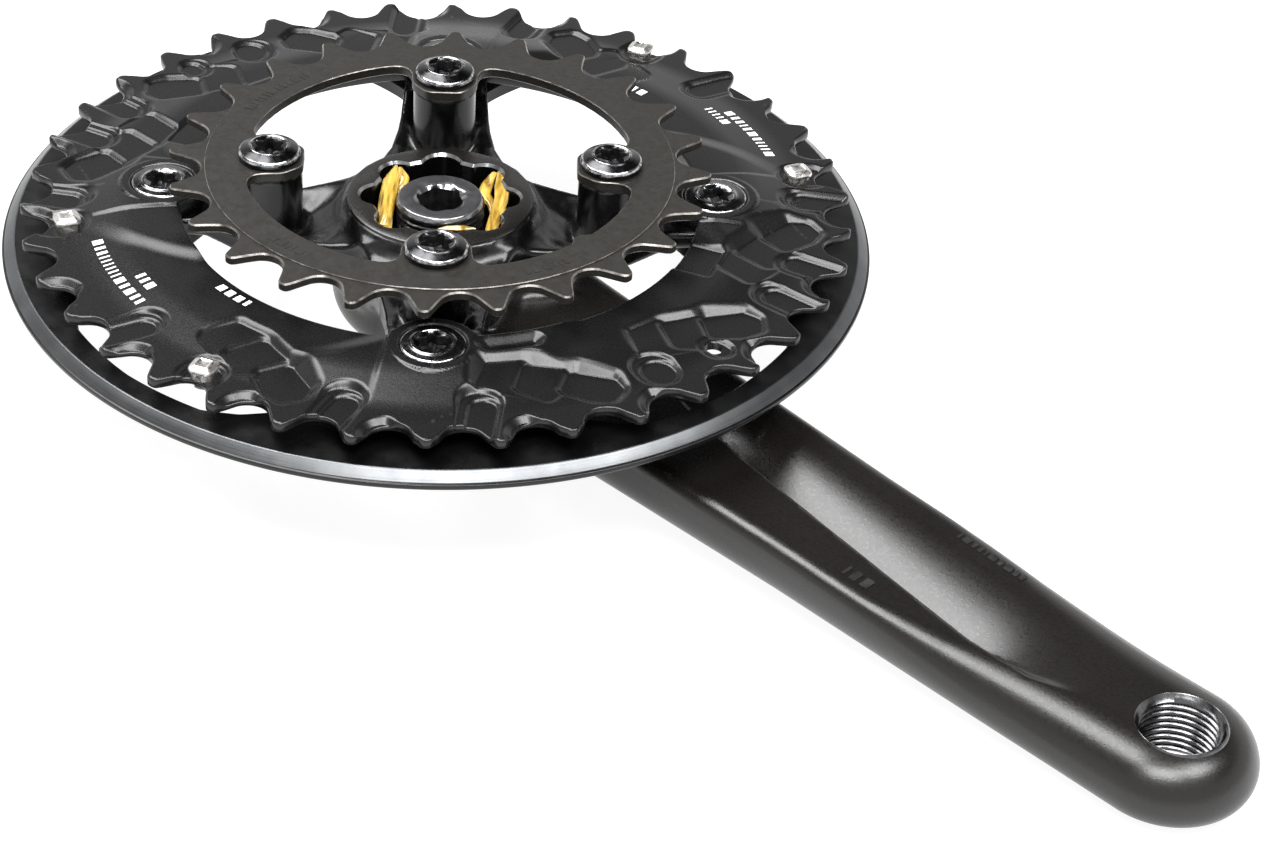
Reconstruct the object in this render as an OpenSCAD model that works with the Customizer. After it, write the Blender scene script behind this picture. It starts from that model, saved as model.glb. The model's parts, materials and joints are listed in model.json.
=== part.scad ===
// Drive side of a double bicycle crankset: arm and spider forging, two chainrings, guard ring
// and a captive spindle bolt. Millimetres. The spindle axis is Z, +Z points inboard to the
// bicycle frame, and the hub's inboard face lies at z = 0. The arm runs along +X.

/* [Arm] */
// Distance from the spindle axis to the pedal axis
arm_length = 175; // [165:2.5:180]
// Width of the arm across its inboard face
arm_width = 32; // [28:0.5:34]
// Height of the arm's inboard face at the pedal
pedal_face_z = -20.7; // [-22:0.1:-19]
// Thickness of the arm at the pedal
pedal_boss_depth = 12.8; // [11:0.1:14]
// Wall radius of the pedal thread
pedal_bore_r = 6.5; // [6.3:0.05:7.2]

/* [Hub] */
// Outer diameter of the hub
hub_d = 35.2; // [34:0.1:38]
// Distance from the inboard face to the outboard face of the hub
hub_depth = 26; // [24:0.5:28]
// Radius of the lands between the socket's lobes
socket_land_r = 12.7; // [12.4:0.1:13]
// Radius of each lobe of the socket
lobe_r = 3.7; // [3.2:0.1:3.8]
// Radius from the spindle axis to the end of each lobe
lobe_reach = 15.1; // [14.8:0.1:15.4]
// Depth of the spindle socket
socket_depth = 14.5; // [12:0.5:15]

/* [Spider] */
// Bolt circle diameter of the outer chainring
ring_bcd = 104; // [104]
// Bolt circle diameter of the inner chainring
granny_bcd = 64; // [64]
// Thickness of the spider's outer tabs
tab_thickness = 3.7; // [3:0.1:4.2]

/* [Outer chainring] */
// Teeth on the outer chainring
outer_teeth = 38; // [36:1:38]
// Angle of one outer tooth from the arm
outer_phase = 2.0; // [0:0.5:9]
// Height of the recessed heads' seat plate above the spider's tabs
ring_pad_height = 3.6; // [3:0.1:4]

/* [Inner chainring] */
// Teeth on the inner chainring
inner_teeth = 24; // [24:1:26]
// Angle of one inner tooth from the arm
inner_phase = -2.0; // [-7:0.5:7]
// Height of the inner chainring's inboard face
inner_top_z = 7.6; // [7:0.1:8]

/* [Guard ring] */
// Outer radius of the guard ring
guard_r = 81.9; // [81:0.1:84]
// Inner radius of the guard ring between its tabs
guard_inner_r = 75.4; // [74:0.1:76]
// Thickness of the guard ring
guard_thickness = 3; // [2.5:0.1:4]

/* [Spindle bolt] */
// Outer radius of the spindle bolt's thread
bolt_r = 8.4; // [8:0.05:8.4]
// Free travel of the captive bolt along the spindle axis
bolt_float = 1.0; // [0.5:0.1:1.2]

/* [Hidden] */
$fn = 96;
hub_r = hub_d / 2;
chain_pitch = 12.7;
roller_r = 3.95;
leg_angles = [45, 135, 225, 315];
ring_bolt_at = ring_bcd / 2;
granny_bolt_at = granny_bcd / 2;

// Heights along the spindle axis
tab_top_z = -2.0;
guard_top_z = tab_top_z - tab_thickness;
guard_bottom_z = guard_top_z - guard_thickness;
pad_top_z = tab_top_z + ring_pad_height;
body_top_z = 0.3;
tooth_top_z = -0.9;
tooth_thickness = 2.0;
inner_thickness = 2.0;
pillar_top_z = inner_top_z - inner_thickness;

// Spider leg, as distance from the spindle and height
leg_profile = [
    [12, -3.2], [26, -5.4], [38, -4.6], [43, tab_top_z], [54, tab_top_z],
    [54, guard_top_z], [43.6, guard_top_z], [36, -9.5], [12, -15]];
// Half of the leg's plan, as distance from the spindle and half width
leg_half_plan = [[10, 14.5], [19, 12.4], [26, 10.6], [33, 9.4], [44, 8.3], [54, 8]];
tab_r = 8;
pillar_r = 6.1;

// Arm
arm_bend_x = 128;
arm_root_z = -12.2;
arm_root_r = 20.5;
arm_end_r = arm_width / 2 - 0.5;
arm_end_x = arm_length - 1.5;
arm_half_plan = [
    [0, arm_root_r - 0.3], [60, arm_width / 2 + 1.5], [100, arm_width / 2 + 0.2],
    [arm_bend_x, arm_width / 2], [arm_end_x, arm_end_r - 0.05]];
pedal_outer_z = pedal_face_z - pedal_boss_depth;
outer_face_drop = -hub_depth - pedal_outer_z;
pedal_chamfer = 0.85;

// Captive bolt, its washer and the cap that holds them
bolt_tip_z = -0.35;
thread_pitch = 1.25;
thread_depth = 0.65;
thread_turns = 10;
web_bottom_z = -socket_depth - 2.5;
washer_thickness = 0.8;
washer_bottom_z = web_bottom_z - bolt_float - 0.05 - washer_thickness;
flange_r = 10.4;
flange_thickness = 3.2;
flange_bottom_z = washer_bottom_z - flange_thickness;
bolt_room_r = 10.8;
cap_r = 12;
cap_top_z = flange_bottom_z - 0.05;
hex_across = 8;
hex_corner_r = hex_across / 2 / cos(30);

// Ring bolts and sleeve nuts
head_r = 5.95;
head_seat_z = pad_top_z - 1.6;
sleeve_r = 5;
ring_hole_r = 5.05;
shank_r = 3.95;
torx_r = 2.9;
granny_head_r = 5.85;
granny_hole_r = 4.05;

// Shift pins on the outer chainring
pin_at = [[69.6, 55], [71, 101.3], [69.6, 235], [71, 281.3]];
pin_head_r = 2.6;
pin_shank_r = 1.5;

function pitch_r(teeth) = chain_pitch / 2 / sin(180 / teeth);
function at_polar(r, angle) = [r * cos(angle), r * sin(angle), 0];

// Sprocket outline: a disc with a roller seat and an opening flank between each two teeth
module sprocket_outline(teeth, tip_r, phase, tip_gap) {
    seat_at = pitch_r(teeth);
    difference() {
        circle(r = tip_r);
        for (i = [0:teeth - 1])
            rotate(phase + (i + 0.5) * 360 / teeth) {
                translate([seat_at, 0])
                    circle(r = roller_r, $fn = 32);
                polygon([
                    [seat_at, -roller_r + 0.1], [tip_r + 1, -tip_gap],
                    [tip_r + 1, tip_gap], [seat_at, roller_r - 0.1]]);
            }
    }
}

// Six-lobed driver socket
module star_socket(depth) {
    cylinder(r = torx_r - 0.75, h = depth);
    for (i = [0:5])
        rotate(i * 60)
            translate([torx_r - 0.75, 0, 0])
                cylinder(r = 0.75, h = depth, $fn = 20);
}

function outer_face_z(x) = -hub_depth - outer_face_drop * x / arm_length;

// The arm is its plan outline cut to its side profile
module arm_body() {
    intersection() {
        translate([0, 0, -50])
            linear_extrude(height = 50) {
                circle(r = arm_root_r);
                polygon(concat(
                    arm_half_plan,
                    [for (i = [len(arm_half_plan) - 1:-1:0])
                        [arm_half_plan[i][0], -arm_half_plan[i][1]]]));
                translate([arm_end_x, 0])
                    circle(r = arm_end_r);
            }
        rotate([90, 0, 0])
            translate([0, 0, -30])
                linear_extrude(height = 60)
                    polygon([
                        [-30, arm_root_z], [0, arm_root_z], [arm_bend_x, pedal_face_z],
                        [arm_end_x + 20, pedal_face_z], [arm_end_x + 20, outer_face_z(arm_end_x + 20)],
                        [-30, outer_face_z(-30)]]);
    }
}

// Long hollow in the arm's inboard face, the path of a ball from end to end
module arm_scoop() {
    start = [88, 3.5, -5.8];
    end = [143, 0, -9.6];
    run = end - start;
    scoop_r = 14;
    translate(start) {
        sphere(r = scoop_r);
        rotate([0, atan2(norm([run[0], run[1]]), run[2]), atan2(run[1], run[0])])
            cylinder(r = scoop_r, h = norm(run));
    }
    translate(end)
        sphere(r = scoop_r);
}

module spider_leg() {
    intersection() {
        rotate([90, 0, 0])
            translate([0, 0, -20])
                linear_extrude(height = 40)
                    polygon(leg_profile);
        translate([0, 0, -20])
            linear_extrude(height = 20)
                polygon(concat(
                    leg_half_plan,
                    [for (i = [len(leg_half_plan) - 1:-1:0])
                        [leg_half_plan[i][0], -leg_half_plan[i][1]]]));
    }
    translate([ring_bolt_at, 0, guard_top_z])
        cylinder(r = tab_r, h = tab_thickness);
    translate([granny_bolt_at, 0, -9])
        cylinder(r = pillar_r, h = pillar_top_z + 9);
}

// Eight-lobed spindle socket, open at the inboard face
module spindle_socket() {
    translate([0, 0, -socket_depth])
        linear_extrude(height = socket_depth + 1) {
            circle(r = socket_land_r);
            for (i = [0:7])
                rotate(i * 45)
                    translate([lobe_reach - lobe_r, 0])
                        circle(r = lobe_r, $fn = 32);
        }
}

module crank_arm() {
    color("#1c1c1d")
        difference() {
            union() {
                translate([0, 0, -hub_depth + 2])
                    cylinder(r = hub_r, h = hub_depth - 2);
                arm_body();
                for (a = leg_angles)
                    rotate(a)
                        spider_leg();
            }
            spindle_socket();
            translate([0, 0, web_bottom_z - 1])
                cylinder(r = bolt_r + 0.1, h = 5);
            translate([0, 0, cap_top_z])
                cylinder(r = bolt_room_r, h = web_bottom_z - cap_top_z);
            translate([0, 0, -hub_depth - 5])
                cylinder(r = cap_r + 0.05, h = cap_top_z + hub_depth + 5);
            arm_scoop();
            translate([arm_length, 0, pedal_outer_z - 1])
                cylinder(r = pedal_bore_r, h = pedal_boss_depth + 2);
            translate([arm_length, 0, pedal_face_z - pedal_chamfer])
                cylinder(r1 = pedal_bore_r, r2 = pedal_bore_r + pedal_chamfer + 1,
                    h = pedal_chamfer + 1);
            translate([arm_length, 0, pedal_outer_z - 1])
                cylinder(r1 = pedal_bore_r + pedal_chamfer + 1, r2 = pedal_bore_r,
                    h = pedal_chamfer + 1);
            for (a = leg_angles)
                rotate(a) {
                    translate([ring_bolt_at, 0, guard_top_z - 1])
                        cylinder(r = ring_hole_r, h = tab_thickness + 2);
                    translate([granny_bolt_at, 0, pillar_top_z - 10])
                        cylinder(r = shank_r + 0.05, h = 11);
                }
        }
}

// Shallow ramp pockets in the outer chainring's inboard face, the same in each half turn
module shift_pockets() {
    pocket_angles = [10, 24, 39, 55, 72, 87, 101.3, 117, 133, 148, 163];
    for (half = [0, 180], a = pocket_angles)
        rotate(a + half)
            translate([70.5, 0, tooth_top_z])
                cylinder(r = 4.6, h = 3, $fn = 32);
}

module chainring_outer() {
    inner_r = 48.8;
    body_r = 72;
    pocket_floor = tooth_top_z;
    color("#2a2a2c")
        difference() {
            union() {
                translate([0, 0, tooth_top_z - tooth_thickness])
                    linear_extrude(height = tooth_thickness)
                        difference() {
                            sprocket_outline(outer_teeth, 77.95, outer_phase, 4.7);
                            circle(r = 61);
                        }
                difference() {
                    translate([0, 0, tab_top_z])
                        cylinder(r = body_r, h = body_top_z - tab_top_z);
                    translate([0, 0, tab_top_z - 1])
                        cylinder(r = inner_r, h = 4);
                    translate([0, 0, pocket_floor])
                        linear_extrude(height = 3)
                            difference() {
                                circle(r = body_r + 2);
                                sprocket_outline(outer_teeth, 76, outer_phase, 4.7);
                            }
                    shift_pockets();
                }
                for (a = leg_angles)
                    rotate(a)
                        translate([ring_bolt_at, 0, tab_top_z])
                            cylinder(r = 8.2, h = ring_pad_height);
            }
            for (a = leg_angles)
                rotate(a) {
                    translate([ring_bolt_at, 0, tab_top_z - 1])
                        cylinder(r = ring_hole_r, h = 6);
                    translate([ring_bolt_at, 0, head_seat_z])
                        cylinder(r = head_r + 0.05, h = 6);
                }
            for (p = pin_at)
                translate(at_polar(p[0], p[1]))
                    translate([0, 0, -5])
                        cylinder(r = pin_shank_r + 0.03, h = 8, $fn = 32);
        }
}

// Tab of the inner chainring, from its flat end to the ring
module inner_tab_outline() {
    polygon([
        [25.5, -3], [28.5, -6.3], [33, -6.5], [38, -9.5],
        [38, 9.5], [33, 6.5], [28.5, 6.3], [25.5, 3]]);
}

module chainring_inner() {
    window_r = 37;
    step_r = 44;
    step_depth = 0.25;
    color("#3a3733")
        difference() {
            translate([0, 0, pillar_top_z])
                linear_extrude(height = inner_thickness)
                    difference() {
                        union() {
                            difference() {
                                sprocket_outline(inner_teeth, 50.4, inner_phase, 5.0);
                                circle(r = window_r);
                            }
                            for (a = leg_angles)
                                rotate(a)
                                    inner_tab_outline();
                        }
                        for (a = leg_angles)
                            rotate(a)
                                translate([granny_bolt_at, 0])
                                    circle(r = granny_hole_r);
                    }
            translate([0, 0, inner_top_z - step_depth])
                difference() {
                    cylinder(r = 60, h = 2);
                    translate([0, 0, -1])
                        cylinder(r = step_r, h = 4);
                }
        }
}

module bash_guard() {
    tab_rim_r = guard_inner_r + 1.2;
    color("#141415")
        difference() {
            union() {
                rotate_extrude($fn = 180)
                    polygon([
                        [guard_inner_r, guard_bottom_z], [guard_r - 0.5, guard_bottom_z],
                        [guard_r, guard_bottom_z + 0.5], [guard_r, guard_bottom_z + 1.4],
                        [guard_r - 0.4, guard_top_z - 1.5], [guard_r - 2.3, guard_top_z],
                        [guard_inner_r, guard_top_z]]);
                for (a = leg_angles)
                    rotate(a)
                        translate([0, 0, guard_bottom_z])
                            linear_extrude(height = guard_thickness) {
                                translate([ring_bolt_at, 0])
                                    circle(r = tab_r);
                                polygon(concat(
                                    [[63.5, 27], [57, 15.5], [48, 7], [48, -7], [57, -15.5],
                                        [63.5, -27]],
                                    [for (t = [-30:6:30])
                                        [tab_rim_r * cos(t), tab_rim_r * sin(t)]]));
                            }
            }
            for (a = leg_angles)
                rotate(a)
                    translate([ring_bolt_at, 0, guard_bottom_z - 1])
                        cylinder(r = ring_hole_r, h = guard_thickness + 2);
        }
}

// Countersunk six-lobe bolt of the outer bolt circle
module ring_bolt(i) {
    rim_z = head_seat_z + 1.5;
    crown_z = head_seat_z + 2;
    color("#b9b9bb")
        rotate(leg_angles[i - 1])
            translate([ring_bolt_at, 0, 0])
                difference() {
                    union() {
                        translate([0, 0, guard_bottom_z + 0.7])
                            cylinder(r = shank_r, h = head_seat_z - guard_bottom_z - 0.6);
                        translate([0, 0, head_seat_z])
                            cylinder(r = head_r, h = rim_z - head_seat_z);
                        translate([0, 0, rim_z])
                            cylinder(r1 = head_r, r2 = 4, h = crown_z - rim_z);
                    }
                    translate([0, 0, crown_z - 2.6])
                        star_socket(3);
                }
}

// Sleeve nut that clamps the guard, the spider's tab and the outer chainring
module sleeve_nut(i) {
    nut_head_r = 7;
    nut_head_h = 1.5;
    color("#2b2b2d")
        rotate(leg_angles[i - 1])
            translate([ring_bolt_at, 0, guard_bottom_z])
                difference() {
                    union() {
                        cylinder(r = sleeve_r, h = head_seat_z - guard_bottom_z - 0.3);
                        translate([0, 0, -nut_head_h])
                            cylinder(r = nut_head_r, h = nut_head_h);
                    }
                    translate([0, 0, 0.5])
                        cylinder(r = shank_r + 0.05, h = 12);
                    translate([-nut_head_r - 1, -1, -nut_head_h - 1])
                        cube([2 * nut_head_r + 2, 2, 1.7]);
                }
}

// Flanged six-lobe bolt of the inner bolt circle
module inner_bolt(i) {
    rim_h = 1.55;
    crown_h = 2.46;
    color("#8f8f92")
        rotate(leg_angles[i - 1])
            translate([granny_bolt_at, 0, inner_top_z])
                difference() {
                    union() {
                        translate([0, 0, -inner_thickness - 8])
                            cylinder(r = shank_r, h = inner_thickness + 8.1);
                        cylinder(r = granny_head_r, h = rim_h);
                        translate([0, 0, rim_h])
                            cylinder(r1 = granny_head_r, r2 = 3.9, h = crown_h - rim_h);
                    }
                    translate([0, 0, crown_h - 2.9])
                        star_socket(3.2);
                }
}

// Riveted pin that lifts the chain onto the outer chainring
module shift_pin(i) {
    p = pin_at[i - 1];
    rivet_z = tooth_top_z - tooth_thickness;
    color("#c9c8c4")
        translate(at_polar(p[0], p[1])) {
            translate([0, 0, rivet_z])
                cylinder(r = pin_shank_r, h = tooth_thickness + 0.2, $fn = 32);
            translate([0, 0, tooth_top_z])
                cylinder(r = pin_head_r, h = 1.2, $fn = 32);
            translate([0, 0, tooth_top_z + 1.2])
                cylinder(r1 = pin_head_r, r2 = 1.7, h = 0.7, $fn = 32);
            translate([0, 0, rivet_z - 0.5])
                cylinder(r = 2.1, h = 0.5, $fn = 32);
        }
}

// Captive bolt: threaded shank, hexagon right through it and a flange under the web
module crank_bolt() {
    thread_top = bolt_tip_z - 1.2;
    thread_end = thread_top - thread_turns * thread_pitch;
    color("#1f1f21")
        difference() {
            rotate_extrude()
                polygon(concat(
                    [[0, flange_bottom_z], [flange_r, flange_bottom_z],
                        [flange_r, washer_bottom_z], [bolt_r, washer_bottom_z],
                        [bolt_r, thread_end - 0.3]],
                    [for (i = [thread_turns - 1:-1:0], half = [0, 1])
                        [bolt_r - thread_depth * (1 - half),
                            thread_top - (i + 0.75 - half / 2) * thread_pitch]],
                    [[bolt_r, thread_top], [7.8, bolt_tip_z], [0, bolt_tip_z]]));
            translate([0, 0, flange_bottom_z - 1])
                cylinder(r = hex_corner_r, h = 30, $fn = 6);
            translate([0, 0, bolt_tip_z - 0.7])
                cylinder(r1 = 4.2, r2 = 5.3, h = 1.1);
        }
}

module bolt_washer() {
    color("#b4b4b0")
        translate([0, 0, washer_bottom_z])
            difference() {
                cylinder(r = flange_r, h = washer_thickness);
                translate([0, 0, -1])
                    cylinder(r = bolt_r + 0.05, h = 3);
            }
}

// Threaded cap that holds the bolt in, with a key hole and two spanner holes
module extractor_cap() {
    cap_bottom_z = -hub_depth + 0.8;
    key_hole_r = 5.5;
    color("#242426")
        translate([0, 0, cap_bottom_z])
            difference() {
                cylinder(r = cap_r, h = cap_top_z - cap_bottom_z);
                translate([0, 0, -1])
                    cylinder(r = key_hole_r, h = 8);
                for (side = [-1, 1])
                    translate([0, side * 8.7, -1])
                        cylinder(r = 1.3, h = 3, $fn = 32);
            }
}

// Two beads of assembly grease between the bolt and the socket's wall
module spline_grease() {
    color("#d8a520")
        for (a = [[12, 74], [190, 72]])
            rotate(a[0])
                rotate_extrude(angle = a[1])
                    polygon([[9.2, -4.4], [12.2, -3.9], [12.4, -1.4], [9.6, -2.2]]);
}

crank_arm();
chainring_outer();
chainring_inner();
bash_guard();
for (i = [1:4]) {
    ring_bolt(i);
    sleeve_nut(i);
    inner_bolt(i);
    shift_pin(i);
}
crank_bolt();
bolt_washer();
extractor_cap();
spline_grease();
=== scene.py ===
import json
import math

import bmesh
import bpy
import numpy as np
from mathutils import Matrix, Vector


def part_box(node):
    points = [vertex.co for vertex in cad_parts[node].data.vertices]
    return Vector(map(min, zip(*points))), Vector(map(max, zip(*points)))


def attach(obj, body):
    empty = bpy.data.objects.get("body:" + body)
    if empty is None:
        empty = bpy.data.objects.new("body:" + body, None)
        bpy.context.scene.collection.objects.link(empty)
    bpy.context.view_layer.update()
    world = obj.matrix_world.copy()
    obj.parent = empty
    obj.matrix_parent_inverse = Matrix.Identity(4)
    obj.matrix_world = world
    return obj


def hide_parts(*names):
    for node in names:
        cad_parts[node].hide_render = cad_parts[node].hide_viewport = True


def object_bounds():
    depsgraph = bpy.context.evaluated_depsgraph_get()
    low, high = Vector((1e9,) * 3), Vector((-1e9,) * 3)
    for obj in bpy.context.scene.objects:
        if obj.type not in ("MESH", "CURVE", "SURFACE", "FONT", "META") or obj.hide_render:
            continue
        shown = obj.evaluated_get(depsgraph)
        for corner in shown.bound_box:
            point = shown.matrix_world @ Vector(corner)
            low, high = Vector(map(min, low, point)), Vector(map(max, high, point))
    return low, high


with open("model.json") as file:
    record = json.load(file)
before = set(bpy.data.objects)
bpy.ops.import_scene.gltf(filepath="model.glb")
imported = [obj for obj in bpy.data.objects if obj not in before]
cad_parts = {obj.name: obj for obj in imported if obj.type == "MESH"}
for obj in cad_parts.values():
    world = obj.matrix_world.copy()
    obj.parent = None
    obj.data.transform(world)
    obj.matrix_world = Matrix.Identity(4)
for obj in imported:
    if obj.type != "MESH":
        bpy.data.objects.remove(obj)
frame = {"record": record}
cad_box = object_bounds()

# Lengths below are millimetres in the frame's own axes: +Z inboard along the spindle, +X along the
# arm. MM turns them into Blender's metres.
MM = 0.001
LEG_ANGLES = [45, 135, 225, 315]
CHAIN_PITCH = 12.7
ROLLER_R = 3.95


def node_box(node):
    """A node's box in the frame, low and high corner, in mm."""
    low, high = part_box(node)
    return np.array(low) / MM, np.array(high) / MM


def mount_at(name):
    """Where a mount of the record is, in mm."""
    for mount in frame["record"]["mounts"]:
        if mount["name"] == name:
            return np.array(mount["pos_m"]) / MM


# Driving sizes, taken from the frame
ARM_LENGTH = mount_at("pedal_thread")[0]
ARM_LOW, ARM_HIGH = node_box("crank_arm")
OUTER_HIGH = node_box("chainring_outer")[1]
INNER_LOW, INNER_HIGH = node_box("chainring_inner")
GUARD_LOW, GUARD_HIGH = node_box("bash_guard")
BOLT_LOW, BOLT_HIGH = node_box("crank_bolt")
CAP_LOW, CAP_HIGH = node_box("extractor_cap")
WASHER_LOW, WASHER_HIGH = node_box("bolt_washer")
RING_BOLT_AT = 52.0
INNER_BOLT_AT = 32.0
HUB_R = 17.6
TAB_TOP_Z = GUARD_HIGH[2] + 3.7
RING_HOLE_R = 5.05
RING_TAB_R = 8.0


# ---------------------------------------------------------------- small maths helpers

def smoothstep(low, high, value):
    """0 below low, 1 above high and a smooth rise between."""
    t = np.clip((value - low) / (high - low), 0, 1)
    return t * t * (3 - 2 * t)


def smooth_min(a, b, width):
    """The lesser of two fields, blended over a width where they meet."""
    h = np.clip(0.5 + 0.5 * (b - a) / width, 0, 1)
    return b * (1 - h) + a * h - width * h * (1 - h)


def smooth_max(a, b, width):
    """The greater of two fields, blended over a width where they meet."""
    return -smooth_min(-a, -b, width)


def pitch_radius(teeth):
    """Radius at which a sprocket's chain rollers sit."""
    return CHAIN_PITCH / 2 / math.sin(math.pi / teeth)


def polar(radius, angle):
    """The point at a radius and an angle in degrees."""
    return radius * math.cos(math.radians(angle)), radius * math.sin(math.radians(angle))


def rotated(points, angle):
    """Points turned about the spindle axis. Anything after x and y is kept."""
    c, s = polar(1, angle)
    return [(p[0] * c - p[1] * s, p[0] * s + p[1] * c, *p[2:]) for p in points]


def wrapped(angle):
    """Angle in degrees brought to -180..180."""
    return (angle + 180) % 360 - 180


def nearest_leg(angle):
    """Signed angle in degrees from the nearest spider leg."""
    return (angle % 90) - 45


# ---------------------------------------------------------------- mesh helpers

def new_object(name, mesh):
    """An object of a mesh or curve, in the scene."""
    obj = bpy.data.objects.new(name, mesh)
    bpy.context.scene.collection.objects.link(obj)
    return obj


def finish_mesh(mesh, sharp=32):
    """Welds, turns the faces outwards and keeps edges sharper than the angle crisp."""
    bm = bmesh.new()
    bm.from_mesh(mesh)
    bmesh.ops.remove_doubles(bm, verts=bm.verts, dist=0.002 * MM)
    bmesh.ops.dissolve_degenerate(bm, edges=bm.edges, dist=0.001 * MM)
    bmesh.ops.recalc_face_normals(bm, faces=bm.faces)
    bm.to_mesh(mesh)
    bm.free()
    mesh.polygons.foreach_set("use_smooth", [True] * len(mesh.polygons))
    mesh.set_sharp_from_angle(angle=math.radians(sharp))


def make(name, verts, faces, materials, sharp=32):
    """A closed piece of points in mm. Materials are rows of MATERIALS, by name."""
    mesh = bpy.data.meshes.new(name)
    mesh.from_pydata((np.asarray(verts, float) * MM).tolist(), [], faces)
    for material in materials:
        mesh.materials.append(PAINTS[material])
    finish_mesh(mesh, sharp)
    return new_object(name, mesh)


def grid_faces(rows, columns, close_rows=False):
    """Quads of a grid that closes on itself along its columns, and along its rows if asked."""
    i, j = np.meshgrid(
        np.arange(rows if close_rows else rows - 1), np.arange(columns), indexing="ij")
    i2 = (i + 1) % rows
    j2 = (j + 1) % columns
    quads = np.stack([
        i * columns + j, i * columns + j2, i2 * columns + j2, i2 * columns + j], -1)
    return quads.reshape(-1, 4).tolist()


def turned_verts(rows, segments):
    """Points of a turned shape. A row is (radius, height), each a number or a function of angle."""
    angles = np.arange(segments) * 2 * math.pi / segments
    points = []
    for radius, height in rows:
        r = radius(angles) if callable(radius) else np.full(segments, float(radius))
        z = height(angles) if callable(height) else np.full(segments, float(height))
        points.append(np.stack([r * np.cos(angles), r * np.sin(angles), z], 1))
    return np.concatenate(points)


def turned(name, rows, materials, segments=96, closed=False, at=(0, 0, 0), sharp=32):
    """A piece turned about Z from rows, each a radius and a height."""
    verts = turned_verts(rows, segments) + np.array(at)
    return make(name, verts, grid_faces(len(rows), segments, closed), materials, sharp)


def corner_points(before, here, after, fillet, steps):
    """The curve that rounds a corner by its fillet."""
    here = np.array(here)
    ends = []
    for other in (before, after):
        away = np.array(other) - here
        ends.append(here + away / np.linalg.norm(away) * fillet)
    points = []
    for k in range(steps + 1):
        t = k / steps
        x, y = (1 - t) ** 2 * ends[0] + 2 * t * (1 - t) * here + t * t * ends[1]
        points.append((x, y))
    return points


def thread_depth(angle, height, pitch, gain, floor):
    """How deep a helical thread is cut at an angle and a height, from 0 to 1."""
    phase = (height / pitch - angle / (2 * math.pi)) % 1.0
    return np.clip(gain * (1 - np.abs(2 * phase - 1)) - floor, 0, 1)


def rounded_profile(corners, steps=4):
    """(radius, height, fillet) corners turned into rows, each corner rounded by its fillet."""
    rows = []
    count = len(corners)
    for i, (r, z, fillet) in enumerate(corners):
        if fillet <= 0 or i in (0, count - 1):
            rows.append((r, z))
        else:
            rows += corner_points(*(c[:2] for c in corners[i - 1:i + 2]), fillet, steps)
    return rows


def paint_faces(obj, index, test):
    """Gives a material index to the faces whose centre and normal (mm) pass the test."""
    for face in obj.data.polygons:
        if test(face.center / MM, face.normal):
            face.material_index = index


def baked(obj):
    """Applies the object's modifiers to its mesh."""
    graph = bpy.context.evaluated_depsgraph_get()
    mesh = bpy.data.meshes.new_from_object(obj.evaluated_get(graph))
    old = obj.data
    obj.modifiers.clear()
    obj.data = mesh
    bpy.data.meshes.remove(old)
    return obj


def joined_mesh(name, objects):
    """One mesh of several objects, which are removed."""
    bm = bmesh.new()
    materials = []
    for obj in objects:
        part = bmesh.new()
        part.from_mesh(obj.data)
        shift = len(materials)
        materials += list(obj.data.materials)
        for face in part.faces:
            face.material_index += shift
        mesh = bpy.data.meshes.new("part")
        part.to_mesh(mesh)
        part.free()
        bm.from_mesh(mesh)
        bpy.data.meshes.remove(mesh)
    whole = bpy.data.meshes.new(name)
    bm.to_mesh(whole)
    bm.free()
    for material in materials:
        whole.materials.append(material)
    for obj in objects:
        bpy.data.objects.remove(obj)
    return new_object(name, whole)


def cut(obj, cutters, sharp=32):
    """Cuts the cutters out of the object. Each cut face takes its cutter's material."""
    tool = joined_mesh("cutter", cutters)
    modifier = obj.modifiers.new("cut", "BOOLEAN")
    modifier.object = tool
    modifier.operation = "DIFFERENCE"
    modifier.solver = "MANIFOLD"
    modifier.material_mode = "TRANSFER"
    baked(obj)
    bpy.data.objects.remove(tool)
    finish_mesh(obj.data, sharp)
    return obj


def drill(radius, low, high, at, material, segments=48):
    """A solid cylinder to cut with."""
    rows = [(0, low), (radius, low), (radius, high), (0, high)]
    return turned("drill", rows, [material], segments, at=(at[0], at[1], 0))


def placed(obj, angle=0, move=(0, 0, 0)):
    """Turns the mesh about the spindle axis and moves it, in mm, leaving the object's origin."""
    obj.data.transform(Matrix.Rotation(math.radians(angle), 4, "Z") @ Matrix.Translation(
        Vector(move) * MM))
    return obj


def settle(obj, nodes=(), body="crankset"):
    """Puts a finished piece on its body and hides the nodes it stands for."""
    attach(obj, body)
    if nodes:
        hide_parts(*nodes)
    return obj


# ---------------------------------------------------------------- materials

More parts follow.
